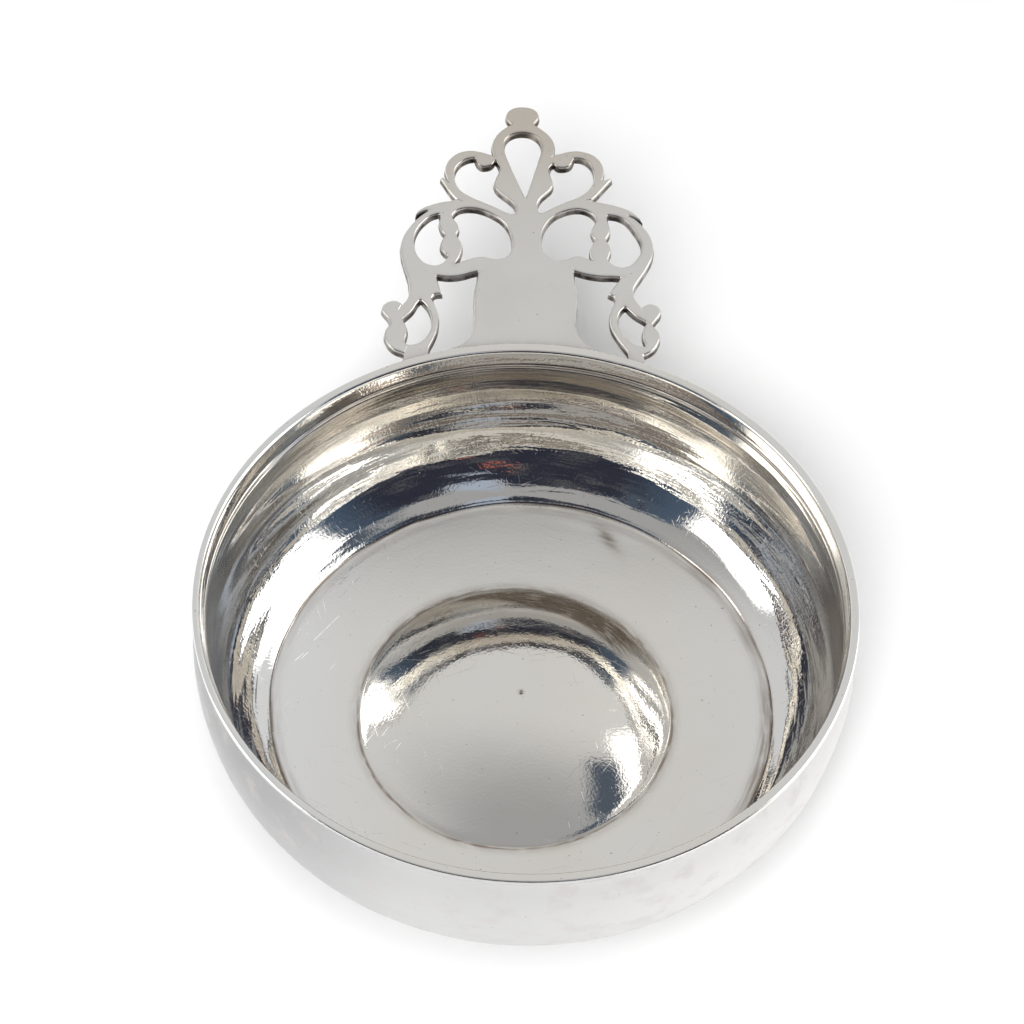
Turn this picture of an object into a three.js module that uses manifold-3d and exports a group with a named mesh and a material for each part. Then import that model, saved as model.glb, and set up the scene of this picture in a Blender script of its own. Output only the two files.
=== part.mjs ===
// Porringer: a shallow raised bowl with one flat pierced handle soldered to its rim.
// Millimetres, +Z up. The bowl stands on z = 0, the handle points along +Y, and the
// origin is under the middle of the whole object.

import * as THREE from 'three';
import { mergeVertices } from 'three/addons/utils/BufferGeometryUtils.js';
import Module from 'manifold-3d';

// ---- driving dimensions -------------------------------------------------------

const BOWL_AXIS_Y = -34.55;     // bowl axis, behind the middle of the whole length
const BOWL_HEIGHT = 44.2;       // base to rim top
const RIM_RADIUS = 66.0;        // outer edge of the flat rim
const RIM_WIDTH = 1.7;          // width of the flat on top of the rim
const CREASE_RADIUS = 52.4;     // crease where the wall meets the dished floor
const CREASE_TOP = 6.5;         // inside height of that crease
const DOME_RADIUS = 32.7;       // crease round the domed centre, the lowest part of the floor
const DOME_FOOT = 1.0;          // inside height of that crease
const DOME_RISE = 8.35;         // dome above its crease
const DOME_WALL = 0.95;         // thickness through the dome
const DOME_SHIFT = -1.3;        // the dome sits a little to the left of the bowl axis
const BOWL_STEPS = 64;          // facets round the bowl

const HANDLE_THICK = 1.8;
const HANDLE_DROP = 0.6;        // handle top below the rim top, at the rim
const HANDLE_ROOT = 65.0;       // bowl axis to the handle drawing's own base line
const HANDLE_TILT = 3.0;        // degrees, tip up
const HANDLE_CUT = RIM_RADIUS + 0.35; // handle ends on this radius round the bowl axis
const OUTLINE_STEP = 1.25;      // length of a facet along the pierced outline

// ---- helpers --------------------------------------------------------------------

const wasm = await Module();
wasm.setup();

// Shared vertices merged and slivers on the axis dropped, so the mesh is closed.
function closed(geometry) {
  const g = geometry.index ? geometry.toNonIndexed() : geometry.clone();
  for (const name of Object.keys(g.attributes)) if (name !== 'position') g.deleteAttribute(name);
  const m = mergeVertices(g, 1e-4);
  const keep = [];
  const ix = m.index.array;
  for (let i = 0; i < ix.length; i += 3) {
    const [a, b, c] = [ix[i], ix[i + 1], ix[i + 2]];
    if (a !== b && b !== c && c !== a) keep.push(a, b, c);
  }
  m.setIndex(keep);
  return m;
}

function solid(geometry) {
  const g = closed(geometry);
  return new wasm.Manifold(new wasm.Mesh({
    numProp: 3,
    vertProperties: Float32Array.from(g.attributes.position.array),
    triVerts: Uint32Array.from(g.index.array),
  }));
}

function geometryOf(manifold) {
  const mesh = manifold.getMesh();
  const out = new Float32Array((mesh.vertProperties.length / mesh.numProp) * 3);
  for (let i = 0; i < out.length / 3; i++)
    for (let k = 0; k < 3; k++) out[i * 3 + k] = mesh.vertProperties[i * mesh.numProp + k];
  const g = new THREE.BufferGeometry();
  g.setAttribute('position', new THREE.BufferAttribute(out, 3));
  g.setIndex(Array.from(mesh.triVerts));
  g.computeVertexNormals();
  return g;
}

// A lathe about the Z axis from [radius, height] pairs.
function turned(profile, steps) {
  const g = new THREE.LatheGeometry(profile.map(([r, z]) => new THREE.Vector2(r, z)), steps);
  g.rotateX(Math.PI / 2);
  return g;
}

// A pierced outline: a list of runs, each run a smooth curve through its points.
// Runs meet in sharp corners, and the last run ends where the first begins.
function outline(runs) {
  const pts = [];
  for (const run of runs) {
    const curve = new THREE.CatmullRomCurve3(run.map(([x, y]) => new THREE.Vector3(x, y, 0)), false, 'centripetal');
    const n = Math.max(1, Math.round(curve.getLength() / OUTLINE_STEP));
    const part = n === 1 ? [curve.getPoint(0), curve.getPoint(1)] : curve.getSpacedPoints(n);
    for (let i = 0; i < part.length - 1; i++) pts.push(new THREE.Vector2(part[i].x, part[i].y));
  }
  return pts;
}

function silver(color, roughness) {
  return new THREE.MeshStandardMaterial({ color, metalness: 1.0, roughness });
}

// ---- bowl -------------------------------------------------------------------------

const H = BOWL_HEIGHT;
const R = RIM_RADIUS;
const domeBall = (DOME_RADIUS ** 2 + DOME_RISE ** 2) / (2 * DOME_RISE);
const domeTop = (r) => DOME_FOOT + Math.sqrt(domeBall ** 2 - r ** 2) - (domeBall - DOME_RISE);

// the floor climbs from the dome to the wall, steeper as it goes
const dishTop = (r) => {
  const x = (r - DOME_RADIUS) / (CREASE_RADIUS - DOME_RADIUS);
  return DOME_FOOT + (CREASE_TOP - DOME_FOOT) * (0.64 * x + 0.36 * x * x);
};

const bowlProfile = [
  // underside of the dome, from the axis to the ring that the bowl stands on
  ...[0, 8, 16, 23, 28].map((r) => [r, domeTop(r) - DOME_WALL]),
  [30.6, 1.1], [31.9, 0.25], [32.4, 0.0],
  // standing ring, dished floor, belly and neck, outside
  [34.9, 0.0], [36.5, 0.52], [38.5, 1.08], [41.5, 1.9], [45.0, 2.9], [48.5, 4.02], [51.5, 5.12], [53.8, 6.15],
  [56.4, 7.75], [58.8, 9.75], [61.2, 12.5], [63.2, 16.2], [64.7, 20.4], [65.7, 24.4], [66.3, 28.4], [66.45, 31.9],
  [66.2, 35.2], [65.5, 38.0], [64.85, 39.9], [64.7, 41.0], [65.2, 41.9],
  // rim
  [R, H - 1.3], [R, H - 0.2], [R - 0.2, H], [R - RIM_WIDTH, H], [R - RIM_WIDTH - 0.2, H - 0.25],
  // collar and belly, inside
  [63.75, H - 1.9], [63.5, H - 4.2], [64.0, H - 5.7], [64.75, H - 7.3], [65.35, H - 9.4], [65.6, H - 12.3],
  [65.45, H - 15.8], [64.85, H - 19.8], [63.8, H - 23.6], [62.3, H - 27.4], [60.2, H - 30.9], [57.6, H - 33.9],
  [55.0, H - 36.1],
  // dished floor
  ...[52.4, 48.5, 44.5, 40.5, 36.5].map((r) => [r, dishTop(r)]),
  // dome
  ...[32.7, 28, 23, 16, 8, 0].map((r) => [r, domeTop(r)]),
];

const bowlGeometry = closed(turned(bowlProfile, BOWL_STEPS));
{
  // the dome was struck by eye, so it is not quite in the middle
  const p = bowlGeometry.attributes.position;
  for (let i = 0; i < p.count; i++) {
    const r = Math.hypot(p.getX(i), p.getY(i));
    const w = THREE.MathUtils.clamp((CREASE_RADIUS - 2 - r) / (CREASE_RADIUS - 2 - DOME_RADIUS - 3), 0, 1);
    p.setX(i, p.getX(i) + DOME_SHIFT * w);
  }
  bowlGeometry.computeVertexNormals();
}
const bowl = new THREE.Mesh(bowlGeometry, silver(0xc9c6be, 0.16));
bowl.name = 'bowl';

// ---- handle -----------------------------------------------------------------------
// Drawn flat: x across, y from the rim (0) to the tip. The halves are cut by hand, so
// they are near twins and not mirror images.

const handleOutline = [
  // tip knob
  [[-2.5, 65.15], [-3.2, 65.9], [-3.7, 66.9], [-3.75, 68.2], [-3.0, 69.6], [-1.6, 70.4], [0.05, 70.6], [1.7, 70.35],
    [3.0, 69.5], [3.6, 68.2], [3.5, 66.9], [2.95, 65.9], [2.35, 65.2]],
  // right shoulder of the hanging ring
  [[2.35, 65.2], [3.3, 64.6], [4.6, 63.4], [5.85, 62.0], [6.65, 60.6], [7.1, 59.2], [7.05, 57.6], [6.9, 56.0]],
  // right upper scroll
  [[6.9, 56.0], [8.3, 56.35], [9.6, 56.9], [10.9, 57.2], [12.2, 57.3], [13.6, 57.1], [14.9, 56.6], [16.0, 55.9],
    [16.9, 54.9], [17.6, 53.7], [18.0, 52.4], [18.1, 51.2], [17.95, 50.0], [17.65, 48.3]],
  // right leaf
  [[17.65, 48.3], [18.7, 48.85], [19.5, 49.15], [19.85, 48.9], [19.3, 48.1], [18.4, 46.8], [17.2, 45.1], [16.1, 43.6],
    [15.0, 42.4]],
  // right arm to its tip
  [[15.0, 42.4], [16.2, 42.1], [17.8, 41.75], [19.5, 41.35], [21.1, 40.85], [22.7, 40.15], [24.0, 39.3], [25.0, 38.3],
    [25.8, 37.2], [26.3, 36.2]],
  [[26.3, 36.2], [25.4, 37.0], [24.4, 37.6], [23.2, 38.15]],
  // right arm, outside, down to the ball
  [[23.2, 38.15], [24.5, 37.35], [25.4, 36.4], [26.2, 35.3], [27.0, 34.0], [27.7, 32.6], [28.2, 31.0], [28.45, 29.3],
    [28.35, 27.4], [27.95, 25.5], [27.25, 23.7], [26.4, 21.9], [25.45, 20.2], [24.5, 18.5], [23.85, 17.0],
    [23.7, 15.7], [24.0, 14.4], [24.6, 13.1], [25.4, 12.0]],
  // right ball and lobe
  [[25.4, 12.0], [26.4, 12.7], [27.6, 12.95], [28.6, 12.6], [29.3, 11.8], [29.5, 10.7], [29.2, 9.7], [28.5, 8.6],
    [27.5, 7.05]],
  [[27.5, 7.05], [28.2, 6.2], [28.8, 5.2], [29.05, 4.2], [29.0, 3.2], [28.6, 1.9], [27.9, 0.6], [26.9, -0.4],
    [25.35, -1.35]],
  // right foot, run into the bowl, and back up the foot's inner side
  [[25.35, -1.35], [25.7, -2.6], [26.1, -6.0]],
  [[26.1, -6.0], [21.4, -6.0]],
  [[21.4, -6.0], [22.2, -1.0], [21.3, 0.8], [20.4, 2.3], [19.6, 3.9], [18.95, 5.4], [18.55, 7.0], [18.45, 8.6],
    [18.6, 10.3], [19.0, 11.8], [19.7, 13.8]],
  // right spur and bracket
  [[19.7, 13.8], [19.6, 14.7], [18.3, 15.55]],
  [[18.3, 15.55], [19.3, 17.2], [20.3, 18.8], [21.1, 20.25]],
  [[21.1, 20.25], [19.1, 20.4], [17.0, 20.4], [15.0, 20.65], [13.1, 21.1], [10.95, 21.9]],
  // right side of the centre plate
  [[10.95, 21.9], [11.0, 20.0], [11.25, 17.8], [11.45, 15.0], [11.45, 12.5], [11.2, 9.8], [11.05, 7.4], [11.2, 5.6],
    [11.7, 3.9], [12.6, 2.4], [13.8, 1.0], [15.3, -0.3], [17.5, -1.6], [19.0, -6.0]],
  [[19.0, -6.0], [-19.0, -6.0]],
  // left side of the centre plate
  [[-19.0, -6.0], [-17.6, -1.2], [-15.5, -0.1], [-14.1, 0.7], [-12.9, 1.6], [-12.0, 2.6], [-11.35, 3.95], [-10.95, 5.5],
    [-10.75, 7.4], [-10.65, 10.0], [-10.75, 12.5], [-10.7, 14.8], [-10.5, 17.2], [-10.15, 19.5], [-9.95, 21.4]],
  // left bracket and spur
  [[-9.95, 21.4], [-11.4, 20.95], [-12.9, 20.35], [-14.6, 19.9], [-16.6, 19.75], [-18.95, 20.05]],
  [[-18.95, 20.05], [-18.7, 18.4], [-18.3, 16.9], [-17.75, 15.0]],
  [[-17.75, 15.0], [-19.3, 14.75], [-19.95, 13.6]],
  // left foot's inner side, run into the bowl
  [[-19.95, 13.6], [-19.2, 12.0], [-18.7, 10.3], [-18.4, 8.6], [-18.4, 7.0], [-18.6, 5.2], [-19.0, 3.4], [-19.6, 1.7],
    [-20.4, -0.5], [-20.2, -6.0]],
  [[-20.2, -6.0], [-26.3, -6.0]],
  [[-26.3, -6.0], [-25.85, -3.4], [-25.6, -1.75]],
  // left lobe and ball
  [[-25.6, -1.75], [-26.6, -1.3], [-27.7, -0.75], [-28.7, 0.2], [-29.4, 1.5], [-29.85, 2.8], [-29.85, 4.0],
    [-29.5, 5.1], [-28.65, 6.4]],
  [[-28.65, 6.4], [-29.2, 8.0], [-30.0, 9.1], [-30.6, 10.2], [-30.5, 11.3], [-29.7, 12.3], [-28.6, 12.85],
    [-27.4, 12.8], [-26.2, 12.0]],
  // left arm, outside, up to its tip
  [[-26.2, 12.0], [-25.5, 12.9], [-25.0, 14.2], [-24.8, 15.8], [-24.95, 17.8], [-25.3, 19.7], [-25.85, 21.7],
    [-26.35, 23.6], [-26.75, 25.6], [-26.95, 27.6], [-26.85, 29.4], [-26.4, 31.3], [-25.6, 33.1], [-24.7, 34.6],
    [-23.7, 36.1], [-22.5, 37.5], [-21.0, 38.9]],
  [[-21.0, 38.9], [-22.3, 38.35], [-23.85, 37.2]],
  [[-23.85, 37.2], [-23.6, 38.2], [-22.9, 39.1], [-21.9, 39.85], [-20.6, 40.5], [-19.1, 41.1], [-17.5, 41.55],
    [-16.2, 41.75], [-15.0, 42.35]],
  // left leaf
  [[-15.0, 42.35], [-15.8, 43.5], [-16.6, 44.8], [-17.4, 46.4], [-18.1, 47.7], [-18.45, 48.5], [-18.1, 48.8],
    [-17.4, 48.3], [-16.6, 47.3]],
  // left upper scroll
  [[-16.6, 47.3], [-17.1, 49.0], [-17.5, 50.6], [-17.4, 52.0], [-17.0, 53.4], [-16.2, 54.7], [-15.1, 55.8],
    [-13.8, 56.55], [-12.4, 56.9], [-11.0, 56.9], [-9.6, 56.6], [-8.3, 56.2], [-6.5, 55.4]],
  // left shoulder of the hanging ring
  [[-6.5, 55.4], [-6.9, 57.0], [-7.0, 58.6], [-6.65, 60.2], [-5.9, 61.9], [-4.8, 63.3], [-3.5, 64.5], [-2.5, 65.15]],
];

const handleHoles = {
  hanging: [
    [[0.45, 42.9], [-0.3, 45.0], [-1.5, 48.4], [-2.4, 51.0], [-3.1, 53.2], [-3.75, 55.2], [-4.2, 57.2], [-4.25, 59.0],
      [-3.9, 60.3], [-3.0, 61.5], [-1.6, 62.35], [0.05, 62.6], [1.6, 62.3], [2.9, 61.4], [3.8, 60.1], [4.2, 58.6],
      [4.1, 57.0], [3.7, 55.3], [3.1, 53.0], [2.5, 50.6], [1.8, 47.8], [1.1, 45.1], [0.45, 42.9]],
  ],
  upperLeft: [
    [[-10.9, 54.75], [-12.1, 54.5], [-13.2, 53.9], [-14.2, 52.95], [-14.95, 51.75], [-15.4, 50.2], [-15.35, 48.4],
      [-14.9, 46.7], [-14.2, 45.3], [-13.2, 44.25], [-11.8, 43.2], [-10.0, 42.1], [-8.0, 41.05], [-6.0, 39.95],
      [-4.2, 38.85], [-2.9, 38.25], [-2.0, 38.3], [-1.6, 39.2], [-1.75, 40.2], [-2.5, 41.5], [-3.5, 42.6],
      [-4.6, 43.7], [-5.6, 44.75], [-6.3, 45.9], [-6.5, 47.1], [-6.2, 48.5], [-5.7, 49.9], [-5.3, 51.1], [-5.4, 52.2],
      [-6.25, 54.0]],
    [[-6.25, 54.0], [-6.6, 53.2], [-7.3, 52.5], [-8.3, 52.1], [-9.2, 52.1], [-10.0, 52.65], [-10.5, 53.6],
      [-10.9, 54.75]],
  ],
  upperRight: [
    [[6.75, 53.2], [6.0, 52.1], [5.85, 50.9], [6.15, 49.4], [6.55, 48.1], [6.6, 46.8], [6.1, 45.5], [5.2, 44.4],
      [4.1, 43.2], [3.4, 41.9], [3.05, 40.6], [3.2, 39.4], [3.6, 38.7], [4.4, 38.8], [5.7, 39.65], [7.1, 40.6],
      [8.7, 41.55], [10.3, 42.4], [12.0, 43.3], [13.3, 44.3], [14.4, 45.5], [15.2, 46.9], [15.7, 48.3], [15.9, 49.7],
      [15.8, 51.1], [15.45, 52.4], [14.75, 53.6], [13.8, 54.5], [12.7, 54.95], [11.5, 55.0]],
    [[11.5, 55.0], [11.15, 54.0], [10.7, 53.0], [9.9, 52.3], [8.8, 52.1], [7.7, 52.25], [6.75, 53.2]],
  ],
  armLeft: [
    [[-18.65, 37.95], [-20.0, 37.4], [-21.1, 36.55], [-22.0, 35.5], [-22.8, 34.3], [-23.45, 32.9], [-23.9, 31.4],
      [-24.1, 29.8], [-23.9, 28.1], [-23.5, 26.5], [-22.8, 25.1], [-21.9, 24.0], [-20.7, 23.3], [-19.3, 23.05],
      [-18.1, 23.5], [-17.2, 24.4], [-16.5, 25.9]],
    [[-16.5, 25.9], [-17.4, 26.6], [-18.05, 27.7], [-18.25, 28.9], [-18.0, 30.1], [-17.2, 31.85]],
    [[-17.2, 31.85], [-17.9, 32.7], [-18.4, 34.0], [-18.6, 35.5], [-18.45, 36.8], [-18.65, 37.95]],
  ],
  innerLeft: [
    [[-15.75, 37.1], [-15.3, 38.2], [-14.4, 39.1], [-13.3, 39.55], [-12.0, 39.7], [-10.7, 39.6], [-9.3, 39.2],
      [-7.8, 38.5], [-6.4, 37.6], [-5.2, 36.6], [-4.1, 35.3], [-3.35, 33.9], [-2.85, 32.4], [-2.55, 30.7],
      [-2.55, 29.0], [-2.8, 27.6], [-3.4, 26.4], [-4.3, 25.5], [-5.6, 25.15], [-7.0, 25.25], [-8.3, 25.65],
      [-9.6, 25.7], [-11.0, 25.35], [-12.6, 24.7], [-14.9, 23.6]],
    [[-14.9, 23.6], [-14.2, 25.0], [-13.75, 26.6], [-13.5, 28.2], [-13.65, 29.6], [-14.8, 31.8]],
    [[-14.8, 31.8], [-14.4, 32.9], [-14.3, 33.9], [-14.6, 35.1], [-15.3, 36.2], [-15.75, 37.1]],
  ],
  innerRight: [
    [[16.15, 36.6], [15.7, 37.8], [14.7, 38.9], [13.5, 39.6], [12.0, 39.85], [10.6, 39.65], [9.3, 39.2], [8.0, 38.5],
      [6.8, 37.6], [5.7, 36.3], [4.85, 34.8], [4.2, 33.1], [3.9, 31.4], [3.95, 29.8], [4.3, 28.2], [5.0, 26.8],
      [6.0, 25.7], [7.2, 25.2], [8.6, 25.2], [9.9, 25.6], [11.2, 26.2], [12.4, 26.15], [13.7, 25.7], [15.1, 24.95]],
    [[15.1, 24.95], [14.65, 26.3], [14.5, 27.7], [14.8, 29.1], [15.75, 30.95]],
    [[15.75, 30.95], [15.1, 32.3], [14.95, 33.6], [15.3, 34.9], [16.15, 36.6]],
  ],
  armRight: [
    [[18.65, 38.2], [19.9, 38.05], [21.1, 37.65], [22.2, 36.95], [23.1, 35.9], [23.9, 34.6], [24.65, 33.2],
      [25.3, 31.8], [25.75, 30.4], [25.9, 29.0], [25.65, 27.5], [25.0, 26.1], [24.2, 24.8], [23.1, 23.75],
      [21.7, 23.25], [20.3, 23.5], [19.2, 24.15], [18.4, 25.1]],
    [[18.4, 25.1], [18.75, 26.5], [19.1, 27.9], [18.9, 29.3], [18.1, 31.0]],
    [[18.1, 31.0], [18.8, 32.5], [19.05, 33.9], [18.8, 35.5], [18.55, 36.9], [18.65, 38.2]],
  ],
  scrollLeft: [
    [[-22.35, 13.2], [-23.0, 12.2], [-23.6, 10.9], [-24.4, 9.6], [-25.3, 8.6], [-25.95, 7.9]],
    [[-25.95, 7.9], [-25.6, 6.6], [-25.1, 5.2], [-25.1, 3.8], [-25.4, 2.4], [-25.45, 1.4], [-24.8, 0.85],
      [-23.7, 0.9], [-22.5, 1.4], [-21.4, 2.5], [-20.6, 3.7], [-20.0, 5.2], [-19.8, 6.8], [-19.9, 8.6], [-20.4, 10.3],
      [-21.2, 11.8], [-22.35, 13.2]],
  ],
  scrollRight: [
    [[21.9, 12.0], [21.1, 11.1], [20.5, 9.9], [20.2, 8.5], [20.2, 7.0], [20.7, 5.3], [21.5, 3.9], [22.5, 2.7],
      [23.6, 1.75], [24.8, 1.1], [25.7, 1.15], [25.95, 1.8], [25.6, 2.9], [25.4, 4.2], [25.6, 6.0], [26.35, 7.75]],
    [[26.35, 7.75], [25.2, 8.65], [24.1, 9.45], [23.0, 10.6], [21.9, 12.0]],
  ],
};

// outer edge anticlockwise, holes clockwise
const wound = (points, clockwise) => (THREE.ShapeUtils.isClockWise(points) === clockwise ? points : points.reverse());
const handleShape = new THREE.Shape(wound(outline(handleOutline), false));
for (const runs of Object.values(handleHoles)) handleShape.holes.push(new THREE.Path(wound(outline(runs), true)));

const handlePlate = new THREE.ExtrudeGeometry(handleShape, { depth: HANDLE_THICK, bevelEnabled: false, steps: 1 });
handlePlate.translate(0, 0, -HANDLE_THICK);
handlePlate.rotateX(THREE.MathUtils.degToRad(HANDLE_TILT));
handlePlate.translate(0, HANDLE_ROOT, BOWL_HEIGHT - HANDLE_DROP);

// the plate and both feet are filed to the rim's curve
const rimCutter = new THREE.CylinderGeometry(HANDLE_CUT, HANDLE_CUT, 30, 180);
rimCutter.rotateX(Math.PI / 2);
rimCutter.translate(0, 0, BOWL_HEIGHT);

const handle = new THREE.Mesh(geometryOf(solid(handlePlate).subtract(solid(rimCutter))), silver(0xbfbdb8, 0.2));
handle.name = 'handle';

// ---- solder seams -------------------------------------------------------------------
// A fillet of hard solder under the handle, in the corner between it and the bowl's neck.

const seamProfile = [
  [65.35, H - 2.85], [65.05, H - 3.5], [65.3, H - 4.6], [65.75, H - 5.5], [66.3, H - 4.3], [66.95, H - 3.4],
  [67.9, H - 2.8], [65.35, H - 2.85],
];
const seamRing = solid(turned(seamProfile, 180));

function seam(name, x0, x1) {
  const a0 = Math.asin(x0 / R);
  const a1 = Math.asin(x1 / R);
  const far = 90;
  const wedge = new THREE.Shape([
    new THREE.Vector2(0, 0),
    new THREE.Vector2(far * Math.sin(a1), far * Math.cos(a1)),
    new THREE.Vector2(far * Math.sin(a0), far * Math.cos(a0)),
  ]);
  const block = new THREE.ExtrudeGeometry(wedge, { depth: 12, bevelEnabled: false, steps: 1 });
  block.translate(0, 0, H - 10);
  const mesh = new THREE.Mesh(geometryOf(seamRing.intersect(solid(block))), silver(0xb3a59a, 0.38));
  mesh.name = name;
  return mesh;
}

// ---- assembly -----------------------------------------------------------------------

const porringer = new THREE.Group();
porringer.position.set(0, BOWL_AXIS_Y, 0);
porringer.add(
  bowl,
  handle,
  seam('solder_seam_centre', -15.6, 14.9),
  seam('solder_seam_left', -25.6, -20.5),
  seam('solder_seam_right', 21.9, 25.7),
);

const group = new THREE.Group();
group.add(porringer);

export default group;
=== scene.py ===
import math

import bpy
import numpy as np
from mathutils import Matrix, Vector
from mathutils.geometry import delaunay_2d_cdt


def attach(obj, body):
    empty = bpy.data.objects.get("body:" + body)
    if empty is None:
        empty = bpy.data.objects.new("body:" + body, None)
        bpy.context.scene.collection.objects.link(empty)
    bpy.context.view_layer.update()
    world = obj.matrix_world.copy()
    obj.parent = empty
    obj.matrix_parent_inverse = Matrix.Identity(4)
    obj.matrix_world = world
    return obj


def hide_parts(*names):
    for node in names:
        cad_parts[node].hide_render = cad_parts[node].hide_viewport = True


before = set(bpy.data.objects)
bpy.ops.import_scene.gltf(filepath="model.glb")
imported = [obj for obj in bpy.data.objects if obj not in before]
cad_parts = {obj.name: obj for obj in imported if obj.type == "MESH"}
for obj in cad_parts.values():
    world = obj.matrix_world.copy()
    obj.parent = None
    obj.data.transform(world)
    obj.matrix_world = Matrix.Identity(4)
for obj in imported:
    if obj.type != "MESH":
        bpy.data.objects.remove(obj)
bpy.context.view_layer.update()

# Silver porringer: a raised bowl with a struck dome in its floor, a flat rim, and a
# pierced handle soldered to the neck. Drawn in millimetres, placed in metres.

MM = 0.001
AXIS_Y = -34.55          # bowl axis
H = 44.2                 # rim top above the table
RIM = 66.0               # outer edge of the rim
CREASE_R, CREASE_Z = 52.4, 6.5       # where the wall turns into the dished floor
DOME_R, DOME_FOOT, DOME_TOP, DOME_WALL = 32.7, 1.0, 9.35, 0.95
DOME_SHIFT = -1.3        # the dome sits a little to the left of the axis
HANDLE_THICK, HANDLE_DROP, HANDLE_ROOT = 1.8, 0.6, 65.0
TILT = math.radians(3.0)
TAU = 2.0 * math.pi


# ---- small tools --------------------------------------------------------------------

def smoothstep(a, b, x):
    t = np.clip((x - a) / (b - a), 0.0, 1.0)
    return t * t * (3.0 - 2.0 * t)


def bump(x, centre, width):
    return np.exp(-((x - centre) / width) ** 2)


def cubic(t):
    """Catmull-Rom weights of the four neighbours at fraction t."""
    return (-0.5 * t + t * t - 0.5 * t ** 3, 1.0 - 2.5 * t * t + 1.5 * t ** 3,
            0.5 * t + 2.0 * t * t - 1.5 * t ** 3, -0.5 * t * t + 0.5 * t ** 3)


def relief(seed, nu, nv):
    """Smooth random relief, about -1 to 1, that closes on itself along u (in turns); v runs 0 to 1."""
    grid = np.random.default_rng(seed).uniform(-1.0, 1.0, (nu, nv))

    def height(u, v):
        x = np.mod(u, 1.0) * nu
        y = np.clip(v, 0.0, 1.0) * (nv - 1)
        ix, iy = np.floor(x).astype(int), np.minimum(np.floor(y).astype(int), nv - 2)
        wx, wy = cubic(x - ix), cubic(y - iy)
        total = 0.0
        for a in range(4):
            for b in range(4):
                total = total + wx[a] * wy[b] * grid[(ix + a - 1) % nu, np.clip(iy + b - 1, 0, nv - 1)]
        return total
    return height


def spline(points, step):
    """Natural cubic through the points, resampled about every step."""
    p = np.asarray(points, float)
    t = np.concatenate([[0.0], np.cumsum(np.linalg.norm(np.diff(p, axis=0), axis=1))])
    n = len(p)
    h = np.diff(t)
    m = np.zeros((n, n))
    rhs = np.zeros((n, p.shape[1]))
    m[0, 0] = m[-1, -1] = 1.0
    for i in range(1, n - 1):
        m[i, i - 1], m[i, i], m[i, i + 1] = h[i - 1], 2.0 * (h[i - 1] + h[i]), h[i]
        rhs[i] = 6.0 * ((p[i + 1] - p[i]) / h[i] - (p[i] - p[i - 1]) / h[i - 1])
    c = np.linalg.solve(m, rhs)
    x = np.linspace(0.0, t[-1], max(2, int(round(t[-1] / step)) + 1))
    k = np.clip(np.searchsorted(t, x, side="right") - 1, 0, n - 2)
    a, b = (t[k + 1] - x)[:, None], (x - t[k])[:, None]
    hk = h[k][:, None]
    return (c[k] * a ** 3 + c[k + 1] * b ** 3) / (6.0 * hk) \
        + (p[k] / hk - c[k] * hk / 6.0) * a + (p[k + 1] / hk - c[k + 1] * hk / 6.0) * b


def catmull(points, step):
    """Centripetal curve through the points, in even steps of about that length, ends included."""
    p = np.asarray(points, float)
    if len(p) == 2:
        dense = p
    else:
        ext = np.vstack([2 * p[0] - p[1], p, 2 * p[-1] - p[-2]])
        parts = []
        for i in range(len(p) - 1):
            p0, p1, p2, p3 = ext[i:i + 4]
            t0 = 0.0
            t1 = t0 + max(np.linalg.norm(p1 - p0), 1e-9) ** 0.5
            t2 = t1 + max(np.linalg.norm(p2 - p1), 1e-9) ** 0.5
            t3 = t2 + max(np.linalg.norm(p3 - p2), 1e-9) ** 0.5
            t = np.linspace(t1, t2, 17)[:, None]
            a1 = (t1 - t) / (t1 - t0) * p0 + (t - t0) / (t1 - t0) * p1
            a2 = (t2 - t) / (t2 - t1) * p1 + (t - t1) / (t2 - t1) * p2
            a3 = (t3 - t) / (t3 - t2) * p2 + (t - t2) / (t3 - t2) * p3
            b1 = (t2 - t) / (t2 - t0) * a1 + (t - t0) / (t2 - t0) * a2
            b2 = (t3 - t) / (t3 - t1) * a2 + (t - t1) / (t3 - t1) * a3
            c = (t2 - t) / (t2 - t1) * b1 + (t - t1) / (t2 - t1) * b2
            parts.append(c if i == 0 else c[1:])
        dense = np.vstack(parts)
    s = np.concatenate([[0.0], np.cumsum(np.linalg.norm(np.diff(dense, axis=0), axis=1))])
    n = max(1, int(round(s[-1] / step)))
    x = np.linspace(0.0, s[-1], n + 1)
    return np.column_stack([np.interp(x, s, dense[:, 0]), np.interp(x, s, dense[:, 1])])


def mesh_piece(name, points_mm, faces, attributes=(), uv=None):
    """A smooth-shaded mesh object from points in millimetres."""
    mesh = bpy.data.meshes.new(name)
    mesh.from_pydata((np.asarray(points_mm, float) * MM).tolist(), [], [list(map(int, f)) for f in faces])
    mesh.validate()
    for key, values in attributes:
        values = np.asarray(values, np.float32)
        kind, field = ("FLOAT", "value") if values.ndim == 1 else ("FLOAT_VECTOR", "vector")
        mesh.attributes.new(key, kind, "POINT").data.foreach_set(field, values.ravel())
    if uv is not None:
        layer = mesh.uv_layers.new(name="wrap")
        layer.data.foreach_set("uv", np.asarray(uv, np.float32).ravel())
    mesh.polygons.foreach_set("use_smooth", np.ones(len(mesh.polygons), bool))
    mesh.update()
    obj = bpy.data.objects.new(name, mesh)
    bpy.context.scene.collection.objects.link(obj)
    return obj


# ---- bowl ----------------------------------------------------------------------------

DOME_RISE = DOME_TOP - DOME_FOOT
DOME_BALL = (DOME_R ** 2 + DOME_RISE ** 2) / (2.0 * DOME_RISE)


def dome_z(r):
    return DOME_TOP + np.sqrt(DOME_BALL ** 2 - np.asarray(r, float) ** 2) - DOME_BALL


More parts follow.
